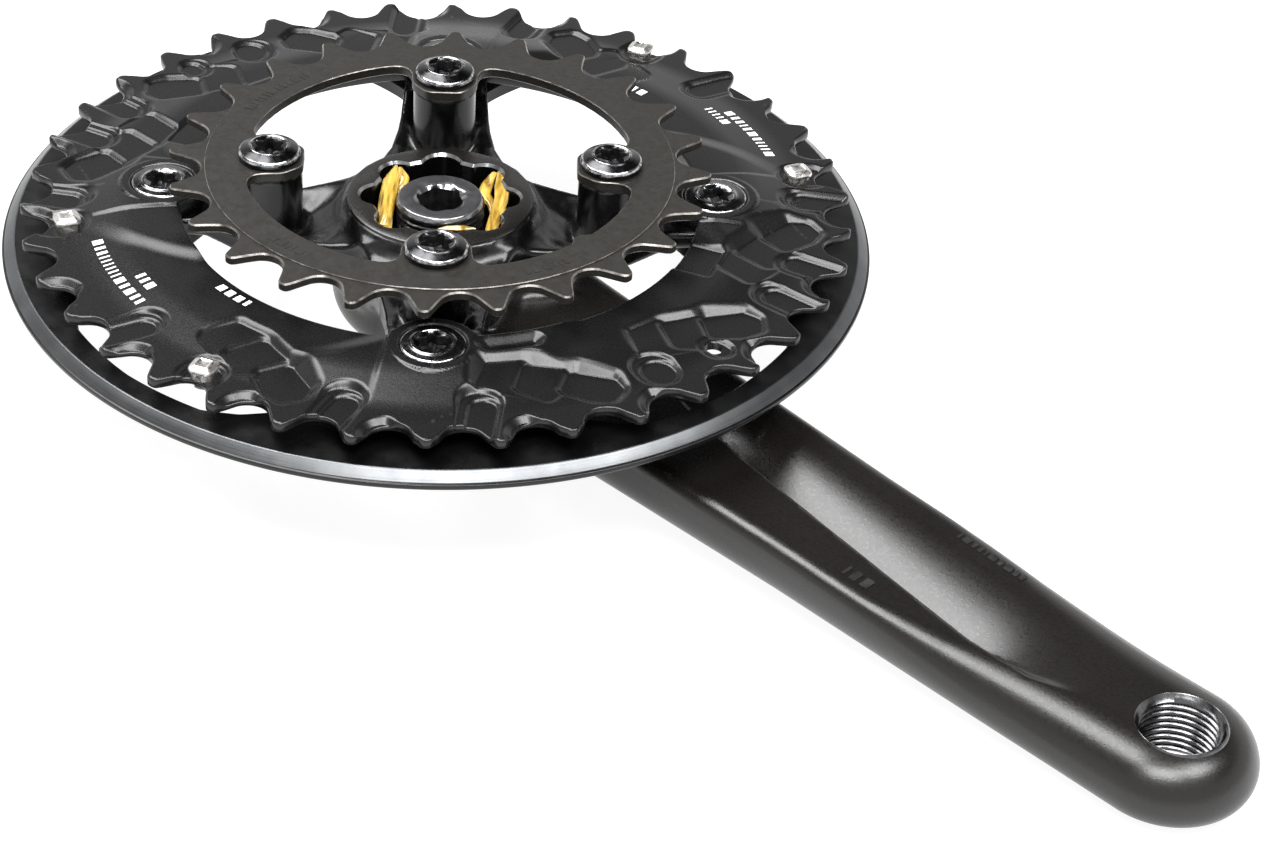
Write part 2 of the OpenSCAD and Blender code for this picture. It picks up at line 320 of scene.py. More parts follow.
class Paint:
    """A Principled material with its node helpers. Texture scales are features per metre."""

    def __init__(self, name, sockets):
        self.material = bpy.data.materials.new(name)
        self.material.use_nodes = True
        self.nodes = self.material.node_tree.nodes
        self.links = self.material.node_tree.links
        self.shader = self.nodes["Principled BSDF"]
        self.normal = None
        for socket, value in sockets.items():
            self.shader.inputs[socket].default_value = value

    def texture(self, kind, scale, detail):
        """Noise in the object's space. turning runs round the spindle axis as lathe marks do,
        streaks are long across the spider, and edges is how sharply the surface bends."""
        if kind == "edges":
            return self.nodes.new("ShaderNodeNewGeometry").outputs["Pointiness"]
        place = self.nodes.new("ShaderNodeTexCoord").outputs["Object"]
        if kind == "streaks":
            mapping = self.nodes.new("ShaderNodeMapping")
            mapping.vector_type = "TEXTURE"
            mapping.inputs["Scale"].default_value = (7, 1, 1)
            mapping.inputs["Rotation"].default_value = (0, 0, math.radians(131.5))
            self.links.new(place, mapping.inputs["Vector"])
            place = mapping.outputs["Vector"]
        if kind == "turning":
            split = self.nodes.new("ShaderNodeSeparateXYZ")
            flat = self.nodes.new("ShaderNodeCombineXYZ")
            radius = self.nodes.new("ShaderNodeVectorMath")
            across = self.nodes.new("ShaderNodeCombineXYZ")
            radius.operation = "LENGTH"
            for out, into in ((place, split.inputs[0]), (split.outputs["X"], flat.inputs["X"]),
                              (split.outputs["Y"], flat.inputs["Y"]),
                              (flat.outputs[0], radius.inputs[0]),
                              (radius.outputs["Value"], across.inputs["X"]),
                              (split.outputs["Z"], across.inputs["Y"])):
                self.links.new(out, into)
            place = across.outputs[0]
        noise = self.nodes.new("ShaderNodeTexNoise")
        noise.inputs["Scale"].default_value = scale
        noise.inputs["Detail"].default_value = detail
        self.links.new(place, noise.inputs["Vector"])
        return noise.outputs["Fac"]

    def vary(self, socket, source, low, high, low_at=0.3, high_at=0.7):
        """Drives a socket of the shader by a texture mapped to a range."""
        node = self.nodes.new("ShaderNodeValToRGB")
        for stop, at, value in zip(node.color_ramp.elements, (low_at, high_at), (low, high)):
            stop.position, stop.color = at, rgba(value)
        self.links.new(source, node.inputs["Fac"])
        self.links.new(node.outputs["Color"], self.shader.inputs[socket])

    def bump(self, source, height_mm, strength):
        """Lifts the surface by a texture, on top of the bumps already there."""
        node = self.nodes.new("ShaderNodeBump")
        node.inputs["Distance"].default_value = height_mm * MM
        node.inputs["Strength"].default_value = strength
        self.links.new(source, node.inputs["Height"])
        if self.normal:
            self.links.new(self.normal, node.inputs["Normal"])
        self.normal = node.outputs["Normal"]
        self.links.new(self.normal, self.shader.inputs["Normal"])


def rgba(value):
    """A colour with full alpha, from three numbers or from one for a grey."""
    return (*value, 1) if isinstance(value, tuple) else (value, value, value, 1)


def painted(name, metallic=0.0, sockets=None, color=None, rough=None, bumps=()):
    """The material of one row of the table below."""
    paint = Paint(name, {"Metallic": metallic, **(sockets or {})})
    for socket, row in (("Base Color", color), ("Roughness", rough)):
        if row:
            paint.vary(socket, paint.texture(*row[:3]), *row[3:])
    for kind, scale, detail, height_mm, strength in bumps:
        paint.bump(paint.texture(kind, scale, detail), height_mm, strength)
    return paint.material


# A material's textures: (kind, scale, detail), then for color and rough the low and high value with
# their places on the ramp, and for a bump its height in mm and strength. A value that a texture
# drives isn't stated again.
MATERIALS = {
    # satin black paint with orange peel over a fine grain
    "arm_paint": dict(
        sockets={"Specular IOR Level": 0.6},
        color=("noise", 60, 3, (0.0038, 0.003, 0.0025), (0.0053, 0.0043, 0.0036)),
        rough=("noise", 1500, 3, 0.26, 0.31),
        bumps=[("noise", 2800, 4, 0.035, 0.55), ("noise", 700, 2, 0.008, 0.3)]),
    # glossier black where the spider is smooth, in the bores and in the socket; its darker colour
    # is painted shade
    "gloss_black": dict(
        sockets={"Base Color": (0.0015, 0.0015, 0.0015, 1)},
        rough=("noise", 500, 3, 0.18, 0.3), bumps=[("noise", 1500, 2, 0.012, 0.4)]),
    # black anodised ring face with fine speckle, lighter along its convex edges, partly as wear and
    # partly as painted highlight
    "ring_satin": dict(
        color=("edges", 0, 0, 0.003, 0.016, 0.53, 0.7), rough=("noise", 2400, 4, 0.25, 0.3),
        bumps=[("noise", 3200, 3, 0.006, 0.5), ("noise", 260, 2, 0.006, 0.2)]),
    # lighter dark metal of machined cuts and rubbed edges; on the arm's stamps it is a painted
    # glint
    "ring_edge": dict(
        metallic=0.7, color=("noise", 350, 4, (0.025, 0.025, 0.026), (0.09, 0.09, 0.092)),
        rough=("noise", 900, 3, 0.18, 0.34)),
    # dark grey-brown coat with a pebbled surface
    "coat_brown": dict(
        color=("noise", 1500, 3, (0.007, 0.006, 0.0045), (0.012, 0.0105, 0.0082)),
        rough=("noise", 600, 3, 0.34, 0.46),
        bumps=[("noise", 1150, 3, 0.06, 0.6), ("noise", 3500, 2, 0.015, 0.4)]),
    # chamfered edges of the brown ring, coloured lighter as a painted highlight
    "coat_edge_highlight": dict(
        metallic=0.6, rough=("noise", 900, 3, 0.22, 0.42),
        color=("noise", 500, 4, (0.055, 0.05, 0.045), (0.24, 0.225, 0.21), 0.35, 0.75)),
    # low-gloss black of the guard ring
    "guard_black": dict(
        sockets={"Specular IOR Level": 0.4},
        color=("noise", 90, 4, (0.001, 0.001, 0.001), (0.002, 0.002, 0.0021)),
        rough=("noise", 260, 5, 0.24, 0.36), bumps=[("noise", 2200, 3, 0.012, 0.4)]),
    # bright turned bevel of the guard ring
    "machined_aluminium": dict(
        metallic=1.0, color=("noise", 160, 4, (0.10, 0.103, 0.107), (0.14, 0.144, 0.148)),
        rough=("turning", 5200, 2, 0.28, 0.42), bumps=[("turning", 4200, 2, 0.01, 0.7)]),
    # dark plated steel with a smeared, oily finish, on the bolts of either ring
    "ring_chrome": dict(
        metallic=1.0, color=("noise", 700, 5, (0.077, 0.077, 0.0805), (0.1375, 0.1375, 0.14375)),
        rough=("noise", 1300, 5, 0.13, 0.26), bumps=[("noise", 2600, 3, 0.005, 0.5)]),
    "inner_chrome": dict(
        metallic=1.0, color=("noise", 700, 5, (0.035, 0.035, 0.0364), (0.0625, 0.0625, 0.065)),
        rough=("noise", 1300, 5, 0.17, 0.26), bumps=[("noise", 2600, 3, 0.005, 0.5)]),
    # bright metal on the bolts' lips and rims, a painted highlight
    "highlight_rim": dict(
        metallic=1.0, rough=("noise", 1600, 4, 0.08, 0.25),
        color=("noise", 900, 5, (0.12, 0.12, 0.125), (0.7, 0.7, 0.71), 0.38, 0.66)),
    # black edge coloured as a lighter, more reflective black, a painted highlight
    "black_highlight_rim": dict(
        metallic=0.9, color=("noise", 700, 4, (0.18, 0.18, 0.184), (0.32, 0.32, 0.326)),
        rough=("noise", 1300, 3, 0.12, 0.22)),
    # bare pressed steel
    "bare_steel": dict(
        metallic=1.0, color=("noise", 800, 4, (0.56, 0.54, 0.52), (0.82, 0.8, 0.77)),
        rough=("noise", 1500, 4, 0.22, 0.42), bumps=[("noise", 2500, 3, 0.02, 0.5)]),
    # cut thread in the aluminium, bright on its crests
    "thread_steel": dict(
        metallic=1.0, color=("noise", 500, 3, (0.09, 0.09, 0.093), (0.19, 0.19, 0.195)),
        rough=("noise", 900, 3, 0.14, 0.26)),
    # oiled black steel of the spindle bolt
    "black_steel": dict(
        metallic=0.5, color=("noise", 400, 4, (0.026, 0.026, 0.028), (0.05, 0.05, 0.052)),
        rough=("noise", 800, 4, 0.33, 0.48), bumps=[("turning", 3000, 2, 0.012, 0.5)]),
    # dark, wet-looking steel of thread flanks, also laid inside bolt sockets and the hexagon bore
    # to make them darker
    "oiled_thread": dict(
        metallic=0.8, color=("noise", 500, 4, (0.015, 0.015, 0.016), (0.07, 0.07, 0.072)),
        rough=("noise", 900, 3, 0.1, 0.26)),
    # black anodised aluminium with turning marks
    "cap_anodised": dict(
        metallic=0.4, color=("noise", 200, 3, (0.025, 0.025, 0.027), (0.04, 0.04, 0.042)),
        rough=("turning", 4000, 2, 0.28, 0.42), bumps=[("turning", 4500, 2, 0.012, 0.6)]),
    # wet amber grease, streaked along its pull
    "grease_amber": dict(
        sockets={"Roughness": 0.14, "Coat Weight": 1.0, "Coat Roughness": 0.05,
                 "Subsurface Weight": 0.3, "Subsurface Scale": 0.002,
                 "Subsurface Radius": (1.0, 0.5, 0.1)},
        color=("streaks", 900, 4, (0.17, 0.09, 0.005), (0.6, 0.4, 0.08), 0.36, 0.66),
        bumps=[("streaks", 900, 4, 0.25, 0.8)]),
    # flat white print
    "print_white": dict(
        sockets={"Base Color": (0.8, 0.8, 0.8, 1)}, rough=("noise", 900, 3, 0.45, 0.65)),
}
PAINTS = {name: painted(name, **row) for name, row in MATERIALS.items()}


# ---------------------------------------------------------------- arm, hub and spider

ARM_END_X = ARM_LENGTH - 1.5
ARM_END_R = 15.5
ARM_ROOT_R = 20.5
PEDAL_FACE_Z = -20.7
ROOT_FACE_Z = -12.2
BEND_X = 128.0
OUTER_FACE_Z = -26.0
OUTER_DROP = 7.5
FIELD_STEP = 0.6


def arm_top(x, y):
    """Height of the arm's inboard face, with its long spoon-shaped hollow."""
    face = np.interp(x, [0, BEND_X - 8, BEND_X + 8],
                     [ROOT_FACE_Z, PEDAL_FACE_Z + 0.57, PEDAL_FACE_Z])
    lower = np.interp(x, [60, 80, 100, 120, 138, 150, 160],
                      [1.5, -2.0, -4.4, -6.6, -9.0, -9.4, -7.0])
    upper = np.interp(x, [60, 80, 120, 146, 158], [10.0, 11.0, 9.5, 8.0, 3.0])
    across = (y - lower) / (upper - lower)
    bank = smooth_max((1.0 - across) / 0.84, 0.0, 0.1)
    bowl = smoothstep(0.0, 0.17, across) * smooth_min(bank ** 1.7, 1.0, 0.1)
    along = smoothstep(56, 84, x) * (1 - smoothstep(134, 160, x))
    return face - 4.0 * bowl * along


def arm_shape(x, y, z):
    """Field of the arm from its root to the rounded pedal end."""
    half = np.interp(x, [0, 60, 100, BEND_X, ARM_END_X], [20.2, 17.5, 16.2, 16.0, ARM_END_R])
    end = np.hypot(np.maximum(x - ARM_END_X, 0), y) - half
    plan = np.minimum(np.maximum(end, -x), np.hypot(x, y) - ARM_ROOT_R)
    outer = OUTER_FACE_Z - OUTER_DROP * x / ARM_LENGTH
    edge = 3.4 + 7.0 * smoothstep(112, 166, x)
    shape = smooth_max(plan, z - arm_top(x, y), edge)
    return smooth_max(shape, outer - z, 7.0)


def leg_shape(x, y, z, angle):
    """Field of one spider leg, dished on top, with its pillar for the inner ring."""
    c, s = polar(1, angle)
    u = x * c + y * s
    v = -x * s + y * c
    half = np.interp(u, [8, 19, 26, 33, 44, 52], [14.5, 12.4, 10.4, 9.2, 8.3, 8.0])
    plan = np.maximum(np.abs(v) - half, np.maximum(u - RING_BOLT_AT, 8 - u))
    plan = np.minimum(plan, np.hypot(u - RING_BOLT_AT, v) - RING_TAB_R)
    top = np.interp(u, [12, 20, 27, 38, 42.5, 60], [-3.0, -4.4, -5.2, -4.4, TAB_TOP_Z, TAB_TOP_Z])
    dish = smoothstep(17, 26, u) * (1 - smoothstep(36, 42, u))
    top = top - 2.6 * dish * (1 - smoothstep(0.35, 0.98, np.abs(v) / half))
    under = np.interp(u, [10, 36, 43.4, 44], [-15, -9.5, -5.8, GUARD_HIGH[2]])
    leg = smooth_max(smooth_max(plan, z - top, 1.0), under - z, 1.6)
    pillar = np.maximum(np.hypot(u - INNER_BOLT_AT, v) - 6.1,
                        np.maximum(z - INNER_LOW[2], -9.0 - z))
    return smooth_min(leg, pillar, 2.6)


def forging(x, y, z):
    """Signed distance, near enough, to the arm, hub and spider forging."""
    hub = np.maximum(np.hypot(x, y) - (HUB_R - 0.25), np.maximum(z + 0.9, -24.0 - z))
    shape = smooth_min(arm_shape(x, y, z), hub, 1.8)
    for angle in LEG_ANGLES:
        shape = smooth_min(shape, leg_shape(x, y, z, angle), 4.0)
    return shape


def field_values(field, axes):
    """The field on a grid, worked out a slab at a time to save memory."""
    out = np.empty([len(a) for a in axes], np.float32)
    y, z = np.meshgrid(axes[1], axes[2], indexing="ij")
    for i, x in enumerate(axes[0]):
        out[i] = field(np.full_like(y, x), y, z)
    return out


def field_mesh(field, low, high, step):
    """Vertices and quads of the field's zero surface, one vertex to each cell that it crosses."""
    axes = [np.arange(a - 2 * step, b + 2 * step, step) for a, b in zip(low, high)]
    value = field_values(field, axes)
    inside = value < 0
    corners = [(a, b, c) for a in (0, 1) for b in (0, 1) for c in (0, 1)]
    size = [n - 1 for n in value.shape]
    count = np.zeros(size, np.int8)
    for a, b, c in corners:
        count += inside[a:a + size[0], b:b + size[1], c:c + size[2]]
    crossed = (count > 0) & (count < 8)
    cell = np.array(np.nonzero(crossed))
    number = np.full(size, -1, np.int64)
    number[crossed] = np.arange(cell.shape[1])
    total = np.zeros((cell.shape[1], 3))
    hits = np.zeros(cell.shape[1])
    for start in corners:
        for axis in range(3):
            if start[axis]:
                continue
            end = list(start)
            end[axis] = 1
            fa = value[tuple(cell[k] + start[k] for k in range(3))]
            fb = value[tuple(cell[k] + end[k] for k in range(3))]
            cross = (fa < 0) != (fb < 0)
            t = np.where(cross, fa / np.where(cross, fa - fb, 1), 0)
            point = (cell.T + np.array(start)).astype(float)
            point[:, axis] += t
            total[cross] += point[cross]
            hits[cross] += 1
    verts = total / hits[:, None] * step + np.array([a[0] for a in axes])
    faces = []
    for axis in range(3):
        b, c = (axis + 1) % 3, (axis + 2) % 3
        first = np.take(inside, range(value.shape[axis] - 1), axis)
        second = np.take(inside, range(1, value.shape[axis]), axis)
        edge = np.array(np.nonzero(first != second))
        rising = first[tuple(edge)]
        ring = []
        for db, dc in ((-1, -1), (0, -1), (0, 0), (-1, 0)):
            at = edge.copy()
            at[b] += db
            at[c] += dc
            ring.append(number[tuple(at)])
        ring = np.stack(ring, 1)
        ring[~rising] = ring[~rising][:, ::-1]
        faces.append(ring)
    return verts, np.concatenate(faces)


def onto_field(field, verts, rounds=4):
    """Moves vertices along the field's slope until they lie on its zero surface."""
    h = 0.02
    for _ in range(rounds):
        x, y, z = verts.T
        d = field(x, y, z)
        slope = np.stack([
            field(x + h, y, z) - d, field(x, y + h, z) - d, field(x, y, z + h) - d], 1) / h
        step = d[:, None] * slope / np.maximum((slope ** 2).sum(1), 0.2)[:, None]
        verts = verts - np.clip(step, -0.4, 0.4)
    return verts


def make_forging():
    """Arm, hub and spider as one forging, with its bores."""
    verts, faces = field_mesh(forging, ARM_LOW, ARM_HIGH, FIELD_STEP)
    verts = onto_field(forging, verts)
    verts[:, 2] = np.maximum(verts[:, 2], ARM_LOW[2])
    arm = make("crank_forging", verts, faces.tolist(), ["arm_paint", "gloss_black"], sharp=60)
    # The spider and hub between the rings take the glossier black; its darker colour is painted
    # shade.
    paint_faces(arm, 1, lambda at, n: math.hypot(at.x, at.y) < 52 and at.z > ROOT_FACE_Z + 0.6)
    bolt_room = BOLT_LOW[2] - 0.05
    bore = [(0, -40), (12.05, -40), (12.05, bolt_room), (10.8, bolt_room), (10.8, -17), (8.5, -17),
            (8.5, -14.4), (15.6, -14.4), (15.6, 5), (0, 5)]
    cutters = [
        turned("bore_cutter", bore, ["gloss_black"], 96),
        drill(7.65, -45, -10, (ARM_LENGTH, 0), "thread_steel", 96)]
    for angle in LEG_ANGLES:
        cutters.append(drill(RING_HOLE_R, -12, 5, polar(RING_BOLT_AT, angle), "gloss_black"))
        cutters.append(drill(4.0, -4.4, 8, polar(INNER_BOLT_AT, angle), "gloss_black"))
    return cut(arm, cutters, sharp=50)


def lobed(land, reach, lobe, count=8, blend=0.5):
    """Radius of a socket with round lobes, as a function of angle."""
    centre = reach - lobe
    step = 2 * math.pi / count

    def radius(angle):
        off = (angle + step / 2) % step - step / 2
        side = np.clip(lobe ** 2 - (centre * np.sin(off)) ** 2, 0, None)
        out = np.where(side > 0, centre * np.cos(off) + np.sqrt(side), 0)
        return smooth_max(out, land, blend)
    return radius


def offset(radius, by):
    """A radius that depends on angle, made larger."""
    return lambda angle: radius(angle) + by


def make_hub_ring():
    """The hub's turned end with the lobed spindle socket and its chamfer coloured as a painted
    highlight.
    """
    wall = lobed(12.7, 15.1, 3.7)
    rows = [
        (HUB_R, -13), (HUB_R, -0.5), (HUB_R - 0.12, -0.18), (HUB_R - 0.45, 0),
        (offset(wall, 0.5), 0), (wall, -0.55), (wall, -3), (wall, -14.35), (8.55, -14.45),
        (8.55, -16.9), (16.5, -16.9)]
    ring = turned("hub_ring", rows, ["gloss_black", "black_highlight_rim", "arm_paint"], 384, closed=True,
                  sharp=30)

    # The chamfer takes the lighter rim black, a painted highlight.
    def is_chamfer(at, normal):
        return -0.56 < at.z < -0.01 and 0.3 < normal.z < 0.95 and math.hypot(at.x, at.y) < 16.4

    def is_face(at, normal):
        return normal.z > 0.95 and at.z > -1 or math.hypot(at.x, at.y) > 17

    paint_faces(ring, 2, is_face)
    paint_faces(ring, 1, is_chamfer)
    return ring


def make_pedal_liner():
    """The bare threaded wall of the pedal hole with its chamfered mouths."""
    minor, major, pitch = 6.45, 7.18, 1.27
    top = PEDAL_FACE_Z
    low = OUTER_FACE_Z - OUTER_DROP
    per_turn = 12
    turns = (top - low - 1.6) / pitch
    rows = [(8.0, low + 0.6), (7.64, low + 0.3), (7.5, low + 0.3), (major, low + 0.65)]
    for k in range(int(turns * per_turn)):
        z = low + 0.75 + k * pitch / per_turn

        def wall(angle, z=z):
            return major - (major - minor) * thread_depth(angle, z, pitch, 1.3, 0.15)
        rows.append((wall, z))
    rows += [(major, top - 0.6), (7.5, top - 0.12), (7.62, top - 0.03), (8.0, top - 0.3)]
    return turned("pedal_thread", rows, ["thread_steel"], 128, closed=True,
                  at=(ARM_LENGTH, 0, 0), sharp=70)


for make_piece in (make_forging, make_hub_ring, make_pedal_liner):
    settle(make_piece(), ["crank_arm"])


# ---------------------------------------------------------------- sprockets

def tooth_outline(teeth, tip_r, gap_half, phase, short=(), cut_back=0.5):
    """Angle and radius of a sprocket's edge all the way round, in degrees and mm.
    The teeth numbered in short end lower by cut_back."""
    at = pitch_radius(teeth)
    half_pitch = math.pi / teeth * tip_r
    step = 360 / teeth
    angles, radii = [], []
    for k in range(teeth):
        for side in (-1, 1):
            tooth = (k + (side + 1) // 2) % teeth
            tip = tip_r - (cut_back if tooth in short else 0)
            roller = [polar(ROLLER_R, b) for b in np.linspace(180, 128, 9)]
            local = [(at + x, y) for x, y in roller]
            local += [(at - 0.9, ROLLER_R + 0.15), (tip - 0.7, gap_half),
                      (tip - 0.2, gap_half + 0.45), (tip, gap_half + 0.95), (tip, half_pitch)]
            gap = phase + (k + 0.5) * step
            start = 0 if side > 0 else 1
            for u, v in local[start:]:
                angles.append(gap + side * math.degrees(math.atan2(v, u)))
                radii.append(math.hypot(u, v))
    order = np.argsort(np.array(angles) % 360)
    return np.array(angles)[order] % 360, np.array(radii)[order]


def edge_radius(outline, theta):
    """Radius of a sprocket's edge at an angle."""
    angles, radii = outline
    return np.interp(theta % 360, angles, radii, period=360)


def drawn_in(theta, radius, by):
    """The edge curve radius(theta), moved inwards square to itself."""
    a = np.radians(theta)
    x, y = radius * np.cos(a), radius * np.sin(a)
    dx = np.roll(x, -1) - np.roll(x, 1)
    dy = np.roll(y, -1) - np.roll(y, 1)
    size = np.maximum(np.hypot(dx, dy), 1e-9)
    x = x - by * dy / size
    y = y + by * dx / size
    angle = np.degrees(np.arctan2(y, x)) % 360
    order = np.argsort(angle)
    return np.interp(theta, angle[order], np.hypot(x, y)[order], period=360)


def polar_plate(name, theta, inner, outer, top, bottom_z, materials, mid=None, chamfer=0.3,
                inner_rows=8, outer_rows=10, sharp=28):
    """A ring between two edge curves with a shaped top. Angles in degrees.
    inner and outer are radii at theta, top is a function of radius and angle. Rows between
    inner and mid follow circles, rows between mid and outer follow the outer edge."""
    mid = mid if mid is not None else (inner + outer) / 2
    inner_top = drawn_in(theta, inner, -chamfer)
    outer_top = drawn_in(theta, outer, chamfer)
    radii = [inner_top + (mid - inner_top) * t for t in np.linspace(0, 1, inner_rows)]
    radii += [mid + (outer_top - mid) * t for t in np.linspace(0, 1, outer_rows)[1:]]
    flat = np.full_like(theta, bottom_z)
    rows = [(inner_top, flat), (inner, flat + chamfer), (inner, top(inner_top, theta) - chamfer)]
    rows += [(r, top(r, theta)) for r in radii]
    rows += [(outer, top(outer_top, theta) - chamfer), (outer, flat + chamfer), (outer_top, flat)]
    rows += [(outer_top + (inner_top - outer_top) * t, flat) for t in (0.2, 0.5, 0.8)]
    a = np.radians(theta)
    verts = np.concatenate([np.stack([r * np.cos(a), r * np.sin(a), z], 1) for r, z in rows])
    return make(name, verts, grid_faces(len(rows), len(theta), True), materials, sharp)


OUTER_TEETH = 38
OUTER_PHASE = 2.0
OUTER_SHORT = [4, 8, 14, 16, 23, 27, 33, 35]
INNER_EDGE_Z = 0.3
TOOTH_TOP_Z = -0.9
PAD_Z = 1.6
POCKET_Z = -1.6

# The ring's face repeats after half a turn. Angles in degrees, radii in mm.
# Tongues: pockets that open into a tooth gap, given by the angle and radius of their inner end.
TONGUES = [(18.6, 65.0), (28.7, 65.2), (47.4, 65.5), (86.0, 64.4), (122.3, 64.7), (142.3, 64.0)]
# Lifts: three steps that carry the chain up, given by the angle and radius of the lowest one.
LIFTS = [(8.5, 66.5), (37.4, 66.7), (112.6, 66.5), (160.0, 66.3)]
LIFT_STEPS = [
    (-0.4, [(-20.5, -2.5), (-15.2, -10.2), (-8.0, -9.8), (-3.5, -6.5), (-12.0, 1.0)]),
    (-0.95, [(-13.0, -2.0), (-8.2, -9.2), (-1.6, -5.6), (-5.6, -0.4), (-9.5, 2.0)]),
    (POCKET_Z, [(-5.6, -1.0), (-2.0, -5.4), (4.4, 0.0), (4.6, 2.8), (1.8, 4.8), (-1.4, 3.4)])]
# Round hollows: angle, radius, size
ROUNDS = [(170.5, 67.0, 4.0), (1.6, 68.4, 2.9), (55.0, 70.4, 4.3), (101.3, 70.8, 4.2)]
EMPTY_HOLE_AT = (1.6, 68.4)


def beside(r, theta, at_r, at_theta):
    """Distances in mm round and out from a place on the ring."""
    return np.radians(wrapped(theta - at_theta)) * r, r - at_r


def capsule(u, v, start, end, radius):
    """Signed distance to a line with round ends."""
    du, dv = end[0] - start[0], end[1] - start[1]
    t = np.clip(((u - start[0]) * du + (v - start[1]) * dv) / (du * du + dv * dv), 0, 1)
    return np.hypot(u - start[0] - t * du, v - start[1] - t * dv) - radius


def polygon(u, v, points):
    """Signed distance to a convex polygon whose points run anticlockwise."""
    nearest = np.full(u.shape, 1e9)
    inside = np.ones(u.shape, bool)
    for (ax, ay), (bx, by) in zip(points, points[1:] + points[:1]):
        ex, ey = bx - ax, by - ay
        t = np.clip(((u - ax) * ex + (v - ay) * ey) / (ex * ex + ey * ey), 0, 1)
        nearest = np.minimum(nearest, np.hypot(u - ax - t * ex, v - ay - t * ey))
        inside &= ex * (v - ay) - ey * (u - ax) > 0
    return np.where(inside, -nearest, nearest)


def shrunk(points, factor):
    """Points drawn in towards their middle."""
    mx = sum(p[0] for p in points) / len(points)
    my = sum(p[1] for p in points) / len(points)
    return [(mx + (x - mx) * factor, my + (y - my) * factor) for x, y in points]


def sunk(z, distance, floor, slope=1.5, blend=0.16):
    """The face z with a hollow let into it: flat at floor, its walls rising at the slope."""
    return smooth_min(z, floor + slope * np.maximum(distance, 0), blend)


def soft_clip(value):
    """A value held between 0 and 1 with eased corners."""
    return smooth_min(smooth_max(value, 0.0, 0.2), 1.0, 0.2)


def outer_ring_top(r, theta):
    """Height of the outer ring's inboard face."""
    leg = nearest_leg(theta)
    crown = soft_clip((69.0 - r) / 9.5)
    pad_crown = soft_clip((70.0 - r) / 14.0)
    rise = smoothstep(0, 9.0, leg + 18.5 + 1.28 * (r - 52.5))
    fall = smoothstep(0, 7.0, 19 + 1.1 * (62 - r) - leg)
    step = 1 - smoothstep(8.4, 9.8, np.abs(leg))
    pad = (0.8 + 0.5 * step) * rise * fall
    z = TOOTH_TOP_Z + crown * (INNER_EDGE_Z - TOOTH_TOP_Z) + pad_crown * pad
    b = np.radians(leg) * r
    from_bolt = np.hypot(b, r - RING_BOLT_AT)
    z = np.maximum(z, PAD_Z - 1.6 * np.clip(from_bolt - RING_TAB_R, 0, 9) ** 0.9)
    half = theta % 180
    for at_theta, at_r in LIFTS:
        u, v = beside(r, half, at_r, at_theta)
        u2, _ = beside(r, half - 180, at_r, at_theta)
        u = np.where(np.abs(u2) < np.abs(u), u2, u)
        for floor, points in LIFT_STEPS:
            z = sunk(z, polygon(u, v, shrunk(points, 0.74)) - 1.5, floor, 0.85, 0.6)
    for at_theta, end_r in TONGUES:
        u, v = beside(r, half, end_r + 3.6, at_theta)
        z = sunk(z, capsule(u, v, (-1.6, 7.5), (0, 0), 3.65), -1.15, 1.1, 0.4)
        z = sunk(z, capsule(u, v, (-1.1, 7.5), (0.55, 0.35), 2.4), POCKET_Z - 0.1, 1.1, 0.4)
    for at_theta, at_r, size in ROUNDS:
        for turn in (0, 180):
            u, v = beside(r, half - turn, at_r, at_theta)
            z = sunk(z, capsule(u, v, (-0.2, 1.2), (0, 0), size), -1.1, 1.1, 0.4)
            z = sunk(z, capsule(u, v, (0.3, 1.6), (0.4, 0.6), size - 1.1), POCKET_Z, 1.1, 0.4)
    u, v = beside(r, half, 50.0, 22.0)
    z = sunk(z, polygon(u, v, [(-4.2, -3.0), (4.2, -3.0), (4.6, 5.4), (-4.2, 5.4)]), -0.3, 0.8, 0.4)
    u, v = beside(r, half, 52.0, 150.5)
    z = sunk(z, capsule(u, v, (-3.8, 0), (3.8, 0), 0.5), 0.0, 0.6, 0.2)
    step_angle = 360 / OUTER_TEETH
    gap = np.floor((theta - OUTER_PHASE) / step_angle)
    u, v = beside(r, theta, pitch_radius(OUTER_TEETH), OUTER_PHASE + (gap + 0.5) * step_angle)
    from_roller = np.hypot(u, v) - ROLLER_R
    scallop = (gap % 2 == 0) & (u < 1.5) & (v < 1.0)
    edge = 1.9 * (1 - smoothstep(-1.5, 2.2, u))
    z = np.where(scallop, z - 0.75 * np.clip(edge - from_roller, 0, 2), z)
    return np.maximum(z, -1.9)


def make_outer_ring():
    """The 38-tooth ring with its bolt seats and the one empty hole."""
    count = OUTER_TEETH * 52
    theta = np.arange(count) * 360 / count
    leg = np.radians(nearest_leg(theta))
    side = np.clip(8.2 ** 2 - (RING_BOLT_AT * np.sin(leg)) ** 2, 0, None)
    tab = np.where(side > 0, RING_BOLT_AT * np.cos(leg) - np.sqrt(side), 60)
    inner = smooth_min(np.full_like(theta, 48.8), tab, 1.6) + 0.2
    outline = tooth_outline(OUTER_TEETH, OUTER_HIGH[0], 5.0, OUTER_PHASE, OUTER_SHORT)
    outer = edge_radius(outline, theta)
    ring = polar_plate(
        "outer_ring", theta, inner, outer, outer_ring_top, -2.9, ["ring_satin", "ring_edge"],
        mid=np.full_like(theta, 72.4), chamfer=0.26,
        inner_rows=92, outer_rows=12)
    holes = []
    seat = [(0, -5), (RING_HOLE_R, -5), (RING_HOLE_R, PAD_Z - 1.6), (6.05, PAD_Z - 1.6),
            (6.05, PAD_Z - 0.35), (6.8, PAD_Z + 0.4), (0, PAD_Z + 0.4)]
    for angle in LEG_ANGLES:
        holes.append(turned("seat", seat, ["ring_edge"], 96, at=(*polar(RING_BOLT_AT, angle), 0)))
    holes.append(drill(1.7, -5, 2, polar(EMPTY_HOLE_AT[1], EMPTY_HOLE_AT[0]), "ring_edge"))
    return cut(ring, holes, sharp=52)


def arc(radius, start, end, count):
    """Points of an arc about the spindle, angles in degrees."""
    return [polar(radius, angle) for angle in np.linspace(start, end, count)]


